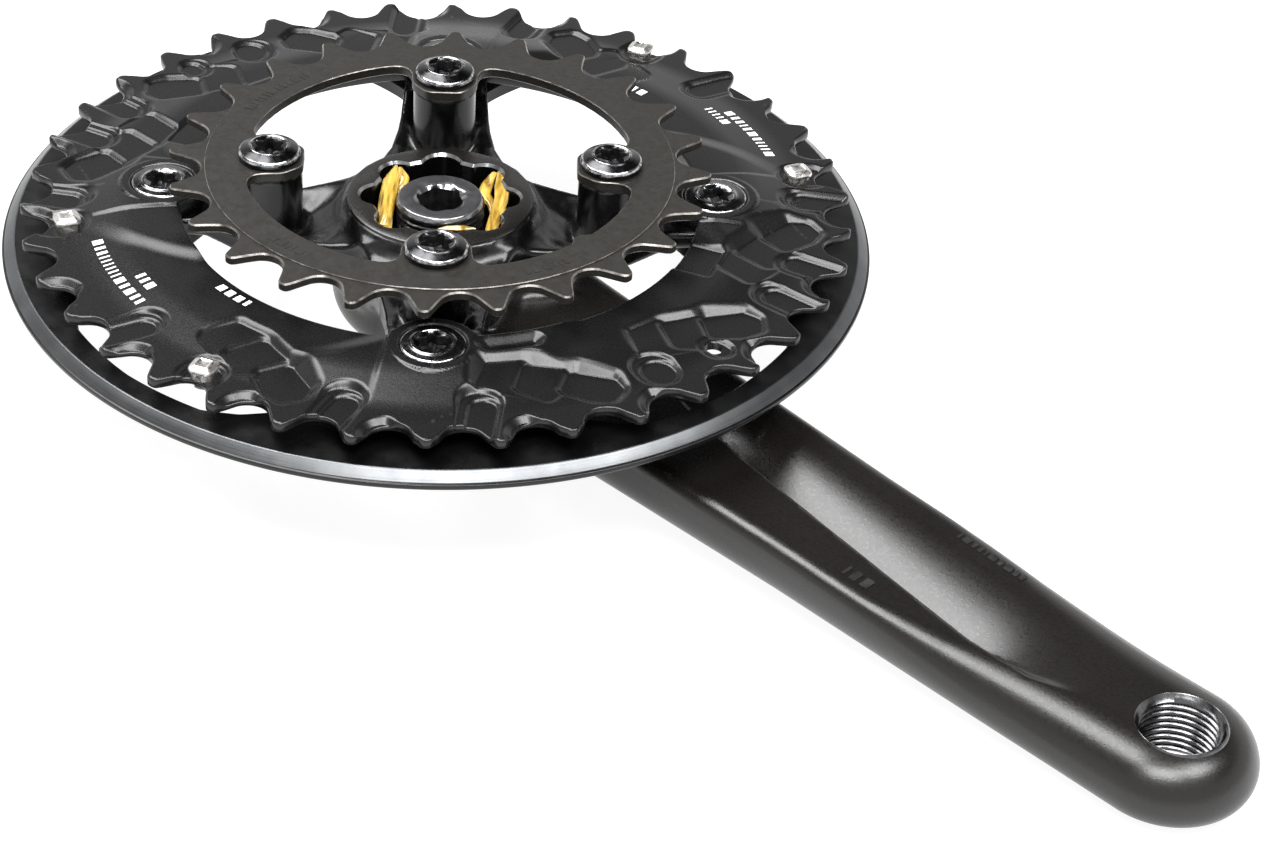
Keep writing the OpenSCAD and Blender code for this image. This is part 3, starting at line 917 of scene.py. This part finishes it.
def filleted(points, steps=6):
    """Closed outline with each (x, y, fillet) corner rounded."""
    out = []
    for i, (x, y, fillet) in enumerate(points):
        if fillet <= 0:
            out.append((x, y))
        else:
            after = points[(i + 1) % len(points)]
            out += corner_points(points[i - 1][:2], (x, y), after[:2], fillet, steps)
    return out


def plate(name, outline, holes, low, high, chamfer, materials, sharp=28):
    """A flat plate of an outline with holes and chamfered edges."""
    curve = bpy.data.curves.new(name, "CURVE")
    curve.dimensions = "2D"
    curve.fill_mode = "BOTH"
    curve.extrude = ((high - low) / 2 - chamfer) * MM
    curve.bevel_depth = chamfer * MM
    curve.bevel_resolution = 0
    curve.offset = -chamfer * MM
    for loop in [outline] + [h[::-1] for h in holes]:
        spline = curve.splines.new("POLY")
        spline.points.add(len(loop) - 1)
        flat = [v for x, y in loop for v in (x * MM, y * MM, 0, 1)]
        spline.points.foreach_set("co", flat)
        spline.use_cyclic_u = True
    helper = new_object(name + "_curve", curve)
    graph = bpy.context.evaluated_depsgraph_get()
    mesh = bpy.data.meshes.new_from_object(helper.evaluated_get(graph))
    bpy.data.objects.remove(helper)
    mesh.transform(Matrix.Translation((0, 0, (high + low) / 2 * MM)))
    mesh.materials.clear()
    for material in materials:
        mesh.materials.append(PAINTS[material])
    finish_mesh(mesh, sharp)
    obj = new_object(name, mesh)
    if len(materials) > 1:
        paint_faces(obj, 1, lambda at, n: 0.2 < abs(n.z) < 0.95)
    return obj


INNER_TEETH = 24
INNER_PHASE = -2.0
INNER_TIP_R = 50.4
WINDOW_R = 37.0
# The small notch in one window's edge: angle, and radius as a share of the window's
NOTCH = [(42.5, 0.985), (43.5, 0.965), (46.5, 0.965), (47.5, 0.985)]


def inner_opening():
    """Outline of the inner ring's middle, with its four tabs reaching in."""
    tab = [(36.6, -6.5, 5.0), (29.2, -6.3, 1.6), (25.6, -3.4, 1.4),
           (25.6, 3.4, 1.4), (29.2, 6.3, 1.6), (36.6, 6.5, 5.0)]
    points = []
    for angle in LEG_ANGLES:
        points += rotated(tab, angle)
        window = [(x, y, 0) for x, y in arc(WINDOW_R, 20, 70, 12)]
        if angle == 315:
            window = [(x, y, 0) for x, y in arc(WINDOW_R, 20, 41, 7)]
            window += [(*polar(WINDOW_R * inward, at), 0) for at, inward in NOTCH]
            window += [(x, y, 0) for x, y in arc(WINDOW_R, 49, 70, 7)]
        points += rotated(window, angle)
    return filleted(points)


def circle_points(radius, at, count=40):
    """Outline of a round hole."""
    a = np.arange(count) * 2 * math.pi / count
    return [(at[0] + radius * math.cos(t), at[1] + radius * math.sin(t)) for t in a]


def make_inner_ring():
    """The 24-tooth ring and the raised step of its face."""
    angles, radii = tooth_outline(INNER_TEETH, INNER_TIP_R, 5.25, INNER_PHASE)
    outline = [polar(r, angle) for angle, r in zip(angles, radii)]
    bolts = [circle_points(4.05, polar(INNER_BOLT_AT, angle)) for angle in LEG_ANGLES]
    opening = inner_opening()
    step_z = INNER_HIGH[2] - 0.25
    # The chamfers take the lighter coat, a painted highlight.
    lower = plate("inner_ring", outline, [opening] + bolts, INNER_LOW[2], step_z, 0.28,
                  ["coat_brown", "coat_edge_highlight"])
    upper = plate("inner_step", [(x, y) for x, y in arc(44, 0, 357, 120)], [opening] + bolts,
                  step_z - 0.5, INNER_HIGH[2], 0.14, ["coat_brown", "coat_edge_highlight"])
    return lower, upper


def guard_opening(theta):
    """Inner edge of the guard ring: a round tab at each leg flaring out to the rim."""
    off = np.abs(nearest_leg(theta))
    side = np.clip(RING_TAB_R ** 2 - (RING_BOLT_AT * np.sin(np.radians(off))) ** 2, 0, None)
    nose = RING_BOLT_AT * np.cos(np.radians(off)) - np.sqrt(side)
    flare = np.interp(off, [0, 8.2, 11.5, 15.2, 19, 23, 27, 32, 45],
                      [44.0, 48.4, 53.6, 59.2, 64.4, 69.0, 72.4, 74.8, 75.4])
    return np.where(off < 8.2, np.minimum(nose, flare), flare)


def make_guard():
    """The guard's face, its bright bevel and its black rim."""
    count = 720
    theta = np.arange(count) * 360 / count
    inner = guard_opening(theta)
    top_z = GUARD_HIGH[2]
    low_z = GUARD_LOW[2]
    edge_r = GUARD_HIGH[0] - 2.3
    face = polar_plate("guard_ring", theta, inner, np.full_like(theta, edge_r),
                       lambda r, t: np.full_like(t, top_z), low_z, ["guard_black"],
                       chamfer=0.25, inner_rows=5, outer_rows=4)
    cut(face, [drill(RING_HOLE_R, -15, 0, polar(RING_BOLT_AT, angle), "guard_black")
               for angle in LEG_ANGLES])
    r = GUARD_HIGH[0]
    band = turned("guard_bevel", rounded_profile([
        (edge_r - 0.5, top_z - 0.5, 0), (edge_r - 0.4, top_z, 0.1), (edge_r, top_z, 0.15),
        (r - 0.4, top_z - 1.5, 0.15), (r - 0.6, top_z - 1.7, 0), (edge_r - 0.5, top_z - 1.7, 0)]),
        ["machined_aluminium"], 512, closed=True, sharp=25)
    rim = turned("guard_rim", rounded_profile([
        (edge_r - 1, top_z - 1.55, 0), (r - 0.45, top_z - 1.55, 0.1),
        (r - 0.02, top_z - 1.72, 0.15), (r - 0.02, low_z + 0.5, 0.3), (r - 0.6, low_z, 0.3),
        (edge_r - 1, low_z, 0)]),
        ["guard_black"], 512, closed=True, sharp=35)
    return face, band, rim


settle(make_outer_ring(), ["chainring_outer"])
for piece in make_inner_ring():
    settle(piece, ["chainring_inner"])
for piece, slot in zip(make_guard(), ("guard_black", "bare_metal", "guard_black")):
    settle(piece, ["bash_guard"])


# ---------------------------------------------------------------- fasteners

def star(radius, depth=0.4):
    """Radius of a six-lobe driver socket, as a function of angle."""
    return lambda angle: radius - depth + depth * np.cos(6 * angle)


def socket_bolt(name, profile, top, socket_r, mouth, spread, depths, material, is_highlight_rim):
    """A bolt with a six-lobe socket, coloured as a painted highlight where its rim test of radius
    and z holds, and darker inside the socket.
    The depths below the top are those of the socket's rows, from its mouth to its floor."""
    socket = star(socket_r, 0.42)
    widths = (mouth, offset(socket, spread), socket, socket, offset(socket, -0.8), 0)
    rows = rounded_profile(profile, 3) + [(w, top - down) for w, down in zip(widths, depths)]
    bolt = turned(name, rows, [material, "highlight_rim", "oiled_thread"], 144)
    paint_faces(bolt, 1, lambda at, n: is_highlight_rim(math.hypot(at.x, at.y), at.z))
    paint_faces(bolt, 2, lambda at, n: math.hypot(at.x, at.y) < socket_r + 0.2
                and at.z < top - depths[1] - 0.05)
    return bolt


def inner_bolt(i):
    """Flanged bolt of the inner bolt circle: a domed collar whose lip and rim carry a painted
    highlight.
    """
    low, high = node_box(f"inner_bolt_{i}")
    seat = INNER_HIGH[2]
    top = high[2]
    profile = [
        (0, low[2], 0), (3.9, low[2], 0), (3.9, seat, 0), (5.6, seat, 0.12),
        (5.85, seat + 0.3, 0.15), (5.85, seat + 1.1, 0.25), (5.55, seat + 1.5, 0.2),
        (4.1, top - 0.32, 0.25), (3.75, top - 0.05, 0.1), (3.45, top, 0.08)]
    bolt = socket_bolt(
        f"inner_bolt_head_{i}", profile, top, 2.95, 3.25, 0.15, (0.12, 0.3, 0.5, 2.7, 3.0, 3.1),
        "inner_chrome", lambda r, z: 3.2 < r < 3.8 and z > top - 0.25
        or 5.3 < r and seat + 0.9 < z < seat + 1.55)
    bolt.data.transform(Matrix.Rotation(math.radians(11 * i), 4, "Z"))
    return placed(bolt, LEG_ANGLES[i - 1], (INNER_BOLT_AT, 0, 0))


def ring_bolt(i):
    """Countersunk bolt of the outer bolt circle."""
    low, high = node_box(f"ring_bolt_{i}")
    top = high[2]
    profile = [
        (0, low[2], 0), (3.9, low[2], 0), (3.9, top - 2, 0), (5.7, top - 2, 0.1),
        (5.95, top - 1.7, 0.1), (5.95, top - 0.62, 0.2), (5.6, top - 0.4, 0.2),
        (4.3, top - 0.25, 0.3), (3.95, top, 0.2), (3.55, top, 0.1)]
    # The socket's lip and the head's edge take the painted highlight.
    bolt = socket_bolt(
        f"ring_bolt_head_{i}", profile, top, 3.0, 3.35, 0.12, (0.15, 0.35, 0.55, 2.3, 2.6, 2.7),
        "ring_chrome", lambda r, z: 3.3 < r < 4.0 and z > top - 0.25
        or 5.5 < r and top - 0.7 < z < top - 0.35)
    bolt.data.transform(Matrix.Rotation(math.radians(17 * i), 4, "Z"))
    return placed(bolt, LEG_ANGLES[i - 1], (RING_BOLT_AT, 0, 0))


def sleeve_nut(i):
    """Sleeve nut on the outboard face, with a slot for its key."""
    low, high = node_box(f"sleeve_nut_{i}")
    z0, z1 = low[2], high[2]
    seat = GUARD_LOW[2]
    rows = rounded_profile([
        (0, z0, 0), (2.6, z0, 0.2), (3.1, z0, 0.1), (6.4, z0, 0.4), (7.0, z0 + 0.6, 0.3),
        (7.0, seat, 0.1), (5.0, seat, 0.1), (5.0, z1, 0.2), (4.0, z1, 0.1), (4.0, seat + 0.6, 0),
        (0, seat + 0.5, 0)], 3)
    nut = turned(f"sleeve_nut_body_{i}", rows, ["black_steel", "ring_edge"], 96)
    box = bpy.data.meshes.new("slot")
    bm = bmesh.new()
    bmesh.ops.create_cube(bm, size=1)
    bm.to_mesh(box)
    bm.free()
    box.materials.append(PAINTS["ring_edge"])
    box.transform(Matrix.Translation((0, 0, (z0 - 0.3) * MM)) @ Matrix.Diagonal(
        (20 * MM, 2 * MM, 2 * MM, 1)))
    cut(nut, [new_object("slot", box)])
    return placed(nut, LEG_ANGLES[i - 1], (RING_BOLT_AT, 0, 0))


def soft_square(half, power=6):
    """Radius of a square with rounded corners, as a function of angle."""
    return lambda angle: half / (
        np.abs(np.cos(angle)) ** power + np.abs(np.sin(angle)) ** power) ** (1 / power)


def shift_pin(i):
    """Riveted pin with a round neck and a bevelled square crown."""
    low, high = node_box(f"shift_pin_{i}")
    at = (low + high) / 2
    top = high[2]
    neck = TOOTH_TOP_Z - 0.8
    rows = [(0, low[2]), (1.8, low[2]), (2.05, low[2] + 0.15), (2.05, low[2] + 0.5),
            (1.5, low[2] + 0.55), (1.5, neck), (soft_square(2.1, 3), neck),
            (soft_square(2.15, 3), top - 1.5),
            (soft_square(2.42, 3.5), top - 1.1), (soft_square(2.45, 3.5), top - 0.75),
            (soft_square(2.3, 4), top - 0.5), (soft_square(1.5, 8), top - 0.12),
            (soft_square(1.25, 8), top - 0.02), (soft_square(1.05, 8), top - 0.12),
            (soft_square(0.5, 5), top - 0.16), (0, top - 0.16)]
    pin = turned(f"shift_pin_body_{i}", rows, ["bare_steel"], 96)
    pin.data.transform(Matrix.Rotation(math.atan2(at[1], at[0]) + math.radians(12), 4, "Z"))
    pin.data.transform(Matrix.Translation(Vector((at[0], at[1], 0)) * MM))
    return pin


def hexagon(across, blend=0.15):
    """Radius of a hexagon with eased corners, as a function of angle."""
    def radius(angle):
        off = (angle + math.pi / 6) % (math.pi / 3) - math.pi / 6
        return np.minimum(across / 2 / np.cos(off), across / math.sqrt(3) - blend)
    return radius


def make_crank_bolt():
    """Captive bolt with a helical thread and a hexagon right through it."""
    top = BOLT_HIGH[2]
    low = BOLT_LOW[2]
    outer = BOLT_HIGH[0]
    shoulder = WASHER_LOW[2]
    pitch, crest, root, per_turn = 1.25, 8.4, 7.65, 10
    key = hexagon(8.0)
    thread_low = shoulder + 4.0
    thread_top = top - 1.15
    rows = [(key, low + 0.6), (offset(key, 0.5), low), (outer - 0.4, low), (outer, low + 0.4),
            (outer, shoulder - 0.3), (outer - 0.3, shoulder), (crest, shoulder),
            (crest, thread_low)]
    for k in range(int((thread_top - thread_low) / pitch * per_turn)):
        z = thread_low + 0.1 + k * pitch / per_turn

        def flank(angle, z=z):
            fade = np.clip((thread_top - z) / 0.6, 0, 1) * np.clip((z - thread_low) / 0.8, 0, 1)
            return crest - (crest - root) * thread_depth(angle, z, pitch, 1.35, 0.1) * fade
        rows.append((flank, z))
    mouth = star(5.03, 0.28)
    rows += [(crest, thread_top), (8.3, top - 0.85), (7.95, top - 0.12), (7.75, top),
             (offset(mouth, 0.35), top), (mouth, top - 0.2), (offset(key, 0.02), top - 0.75)]
    for t in (0.25, 0.5, 0.75):
        rows.append((key, top + (low - top) * t))
    bolt = turned("crank_bolt_body", rows, ["black_steel", "black_highlight_rim", "oiled_thread"], 192,
                  closed=True, sharp=38)

    # The thread and the inside of the hexagon take the darker thread steel.
    def is_oiled(at, normal):
        r = math.hypot(at.x, at.y)
        return r > 7 and at.z < top - 0.9 or r < 5 and at.z < top - 0.8

    # The head's outer rim and the hexagon's mouth take the lighter rim black, a painted highlight.
    def is_highlight_rim(at, normal):
        r = math.hypot(at.x, at.y)
        return (r > 7.78 and top - 0.9 < at.z < top - 0.05
                or r < 5.1 and top - 0.7 < at.z < top - 0.02)

    paint_faces(bolt, 2, is_oiled)
    paint_faces(bolt, 1, is_highlight_rim)
    return bolt


def make_washer():
    """Plain steel washer under the bolt's head."""
    z0, z1 = WASHER_LOW[2], WASHER_HIGH[2]
    r = WASHER_HIGH[0]
    rows = [(8.45, z0 + 0.1), (8.55, z0), (r - 0.15, z0), (r, z0 + 0.15), (r, z1 - 0.15),
            (r - 0.15, z1), (8.55, z1), (8.45, z1 - 0.1)]
    return turned("washer_ring", rows, ["bare_steel"], 96, closed=True)


def make_cap():
    """Extractor cap with a key hole and two spanner holes; its threaded side is drawn plain."""
    z0, z1 = CAP_LOW[2], CAP_HIGH[2]
    r = CAP_HIGH[0]
    rows = rounded_profile([
        (5.5, z1, 0), (5.5, z0 + 0.5, 0), (6.0, z0, 0.15), (7.0, z0, 0.05), (r - 0.5, z0, 0.2),
        (r, z0 + 0.5, 0.15), (r, z1 - 0.2, 0.1), (r - 0.2, z1, 0)], 3)
    cap = turned("cap_disc", rows, ["cap_anodised", "ring_edge"], 128, closed=True)
    holes = [drill(1.3, z0 - 1, z0 + 2, (0, side * 8.7), "ring_edge", 32) for side in (-1, 1)]
    return cut(cap, holes)


for number in (1, 2, 3, 4):
    settle(inner_bolt(number), [f"inner_bolt_{number}"])
    settle(ring_bolt(number), [f"ring_bolt_{number}"])
    settle(sleeve_nut(number), [f"sleeve_nut_{number}"])
    settle(shift_pin(number), [f"shift_pin_{number}"])
settle(make_crank_bolt(), ["crank_bolt"], "spindle_bolt")
settle(make_washer(), ["bolt_washer"], "washer")
settle(make_cap(), ["extractor_cap"])


# ---------------------------------------------------------------- grease

def strand(name, path, widths, thickness, seed):
    """A pulled string of grease: a flattened tube along a path, ridged along its length."""
    rng = np.random.default_rng(seed)
    path = np.array(path, float)
    t = np.linspace(0, 1, 40)
    knots = np.linspace(0, 1, len(path))
    centre = np.stack([np.interp(t, knots, path[:, k]) for k in range(3)], 1)
    for _ in range(6):
        centre[1:-1] = (centre[:-2] + 2 * centre[1:-1] + centre[2:]) / 4
    width = np.interp(t, knots, widths)
    ahead = np.gradient(centre, axis=0)
    ahead /= np.linalg.norm(ahead, axis=1)[:, None]
    up = np.array([0.0, 0.0, 1.0])
    side = np.cross(ahead, up)
    side /= np.linalg.norm(side, axis=1)[:, None]
    lift = np.cross(side, ahead)
    around = 28
    phase = rng.uniform(0, 6.28, 4)
    verts = []
    for k in range(len(t)):
        for j in range(around):
            a = 2 * math.pi * j / around
            ridge = 1 + 0.12 * math.sin(5 * a + phase[0] + 3 * t[k]) + 0.07 * math.sin(
                9 * a + phase[1] + 5 * t[k])
            thick = thickness * (0.25 + 0.75 * width[k] / max(widths))
            verts.append(centre[k] + side[k] * math.cos(a) * width[k] / 2 * ridge
                         + lift[k] * math.sin(a) * thick * ridge)
    faces = grid_faces(len(t), around)
    faces.append(list(range(around))[::-1])
    faces.append([(len(t) - 1) * around + j for j in range(around)])
    return make(name, verts, faces, ["grease_amber"], sharp=80)


# Curtains of grease hanging from the socket's lobes past two sides of the bolt: path, widths,
# thickness
GREASE = {
    "grease_east": (
        [(0.8, 14.6, -0.5), (4.2, 12.2, -0.9), (7.6, 8.6, -1.5), (10.4, 4.4, -2.0),
         (13.8, -0.6, -2.6)], [0.5, 2.8, 2.6, 2.2, 2.0], 0.55),
    "grease_east_web": (
        [(0.2, 14.2, -0.7), (1.0, 11.6, -1.6), (2.4, 9.2, -2.4), (5.8, 8.3, -3.0),
         (8.8, 5.0, -3.8)], [0.9, 2.0, 2.2, 1.6, 0.6], 0.45),
    "grease_west": (
        [(-13.9, 1.6, -0.4), (-11.4, -2.0, -1.0), (-8.6, -5.2, -1.6), (-5.0, -9.4, -2.2),
         (-0.2, -14.2, -2.6)], [0.5, 2.8, 3.2, 2.8, 2.6], 0.55),
    "grease_west_web": (
        [(-13.4, 2.0, -0.8), (-10.6, 0.6, -1.4), (-9.9, -0.9, -2.0), (-9.4, -3.9, -3.0),
         (-7.6, -6.5, -3.8)], [0.8, 2.2, 2.2, 1.6, 1.0], 0.45),
    "grease_south": (
        [(11.8, -2.2, -1.2), (10.2, -4.0, -0.9), (8.0, -6.2, -1.1), (6.6, -8.6, -1.6)],
        [0.6, 1.5, 1.3, 0.5], 0.45),
    "grease_west_tip": (
        [(-1.6, -13.2, -2.0), (-2.6, -11.8, -1.1), (-3.2, -10.9, -0.5)], [1.8, 1.5, 0.4], 0.4)}
for seed, (name, (path, widths, thickness)) in enumerate(GREASE.items(), 1):
    settle(strand(name, path, widths, thickness, seed), ["spline_grease"])


# ---------------------------------------------------------------- print and stamps

def strips(name, surface, lengths, gap, height, lift, material):
    """A row of plain strips in place of any lettering. surface(along, across) is a point of
    the surface, and the strips stand out of it by lift."""
    verts, faces = [], []
    start = 0.0
    steps, wide = 4, 5
    for length in lengths:
        base = len(verts)
        for level in (lift, -0.06):
            for k in range(steps + 1):
                for j in range(wide):
                    x, y, z = surface(start + length * k / steps, height * (j / (wide - 1) - 0.5))
                    verts.append((x, y, z + level))
        under = wide * (steps + 1)
        for k in range(steps):
            for j in range(wide - 1):
                i = base + k * wide + j
                faces.append((i, i + 1, i + wide + 1, i + wide))
                faces.append((i + under, i + under + wide, i + under + wide + 1, i + under + 1))
        rim = [k * wide for k in range(steps + 1)]
        rim += [steps * wide + j for j in range(1, wide)]
        rim += [k * wide + wide - 1 for k in reversed(range(steps))]
        rim += list(reversed(range(1, wide - 1)))
        for i, j in zip(rim, rim[1:] + rim[:1]):
            faces.append((base + i, base + j, base + j + under, base + i + under))
        start += length + gap
    return make(name, verts, faces, [material], sharp=20)


def ring_line(radius, start, height_at):
    """An arc about the spindle, beginning at an angle."""
    def surface(along, across):
        r = radius + across
        a = start + math.degrees(along / radius)
        return (*polar(r, a), height_at(r, a))
    return surface


def arm_line(x0, y0, angle):
    """A straight line on the arm's face."""
    c, s = polar(1, angle)

    def surface(along, across):
        x, y = x0 + along * c - across * s, y0 + along * s + across * c
        return x, y, float(arm_top(x, y))
    return surface


def outer_height(r, a):
    """Height of the outer ring's face at one place."""
    return float(outer_ring_top(np.array([r]), np.array([a]))[0])


def tick_lengths(total, seed, gap=0.65):
    """Uneven short lengths that fill a line with small gaps."""
    rng = np.random.default_rng(seed)
    lengths = []
    while sum(lengths) + gap * len(lengths) < total:
        lengths.append(float(rng.choice([0.4, 0.8, 1.5])))
    return lengths


# Name, radius, start in degrees, length and height of each line of print, and below of each stamp
PRINTS = [("print_lower", 65.0, 241.5, 22.0, 2.0), ("print_lower_short", 61.3, 254.6, 5.8, 2.0),
          ("print_upper", 66.4, 61.5, 18.0, 1.9), ("print_upper_short", 63.4, 73.5, 6.5, 1.8),
          ("print_edge", 51.4, 266.0, 8.5, 1.8), ("print_mark", 56.5, 90.4, 3.0, 2.0)]
for seed, (name, radius, start, total, height) in enumerate(PRINTS):
    line = ring_line(radius, start, outer_height)
    settle(strips(name, line, tick_lengths(total, seed, 0.9), 0.9, height, 0.03, "print_white"))

STAMPS = [("stamp_inner_low", 40.9, 338.0, 9.0), ("stamp_inner_side", 40.9, 268.5, 7.5),
          ("stamp_inner_far", 40.9, 176.0, 17.0)]
for seed, (name, radius, start, total) in enumerate(STAMPS):
    line = ring_line(radius, start, lambda r, a: INNER_HIGH[2])
    settle(strips(name, line, tick_lengths(total, seed + 9), 0.65, 1.8, 0.05, "coat_brown"))
# The arm's stamps are drawn in the lighter edge metal, a painted glint.
settle(strips("stamp_arm_near", arm_line(112.0, -10.6, 0), [0.6, 1.4, 1.6], 1.0, 2.6, 0.12,
              "ring_edge"))
settle(strips("stamp_arm_far", arm_line(119.0, 11.9, -3), tick_lengths(15.0, 14), 0.65, 1.6, 0.1,
              "ring_edge"))


# ---------------------------------------------------------------- camera, floor and light

def aim(obj, target, roll=0.0):
    """Points the object's -Z at a target (metres), turned about that line by roll degrees."""
    back = (Vector(obj.location) - Vector(target)).normalized()
    obj.rotation_mode = "QUATERNION"
    obj.rotation_quaternion = back.to_track_quat("Z", "Y") @ Matrix.Rotation(
        math.radians(roll), 3, "Z").to_quaternion()


def direction(azimuth, elevation):
    """Unit vector towards a point of the sky."""
    a, e = math.radians(azimuth), math.radians(elevation)
    return Vector((math.cos(e) * math.cos(a), math.cos(e) * math.sin(a), math.sin(e)))


def make_camera():
    """The camera fitted to the photo."""
    data = bpy.data.cameras.new("camera")
    data.lens = 89.0
    data.sensor_width = 36.0
    data.clip_start = 0.01
    data.clip_end = 20
    camera = bpy.data.objects.new("camera", data)
    bpy.context.scene.collection.objects.link(camera)
    target = Vector((46.2, 8.4, -32.2)) * MM
    camera.location = target + direction(-48.49, 35.47) * 0.5964
    aim(camera, target, 3.41)
    bpy.context.scene.camera = camera


def soft_box(name, azimuth, elevation, distance, width, height, power):
    """A rectangular lamp turned to the crankset. Metres and watts."""
    data = bpy.data.lights.new(name, "AREA")
    data.shape = "RECTANGLE"
    data.size = width
    data.size_y = height
    data.energy = power
    lamp = bpy.data.objects.new(name, data)
    bpy.context.scene.collection.objects.link(lamp)
    middle = Vector((0.03, 0, 0))
    lamp.location = middle + direction(azimuth, elevation) * distance
    aim(lamp, middle)


def make_floor():
    """A pale table just under the part."""
    mesh = bpy.data.meshes.new("floor")
    size = 6.0
    z = cad_box[0][2] - 0.0002
    mesh.from_pydata([(-size, -size, z), (size, -size, z), (size, size, z), (-size, size, z)],
                     [], [(0, 1, 2, 3)])
    mesh.materials.append(painted(
        "floor", rough=("noise", 40, 3, 0.75, 0.9),
        sockets={"Base Color": (0.25, 0.25, 0.25, 1), "Emission Color": (1, 1, 1, 1),
                 "Emission Strength": 0.9}))
    new_object("floor", mesh)


def make_world():
    """A white backdrop low down all round, a dim studio above it and a pale wall in front."""
    world = bpy.data.worlds.new("studio")
    world.use_nodes = True
    nodes, links = world.node_tree.nodes, world.node_tree.links

    def ramp(source, low_at, low, high_at, high):
        node = nodes.new("ShaderNodeValToRGB")
        for stop, at, grey in zip(node.color_ramp.elements, (low_at, high_at), (low, high)):
            stop.position, stop.color = at, (grey, grey, grey, 1)
        links.new(source, node.inputs["Fac"])
        return node.outputs["Color"]

    place = nodes.new("ShaderNodeTexCoord").outputs["Generated"]
    split = nodes.new("ShaderNodeSeparateXYZ")
    links.new(place, split.inputs[0])
    toward_front = nodes.new("ShaderNodeVectorMath")
    toward_front.operation = "DOT_PRODUCT"
    toward_front.inputs[1].default_value = direction(-48, 0)
    links.new(place, toward_front.inputs[0])
    lighter = nodes.new("ShaderNodeMix")
    lighter.data_type = "RGBA"
    lighter.blend_type = "LIGHTEN"
    lighter.inputs["Factor"].default_value = 1.0
    links.new(ramp(split.outputs["Z"], 0.39, 0.9, 0.56, 0.04), lighter.inputs["A"])
    links.new(ramp(toward_front.outputs["Value"], 0.1, 0.0, 0.5, 0.8), lighter.inputs["B"])
    links.new(lighter.outputs["Result"], nodes["Background"].inputs["Color"])
    bpy.context.scene.world = world


make_camera()
make_floor()
make_world()
soft_box("left", 190, 54, 1.1, 0.7, 0.4, 9)
soft_box("arm_end", 203, 74, 0.87, 0.5, 0.25, 5)
soft_box("right", 18, 59, 1.1, 0.5, 0.35, 8)
soft_box("front", -48, 64, 1.1, 0.6, 0.5, 13)
bpy.context.scene.view_settings.view_transform = "Standard"
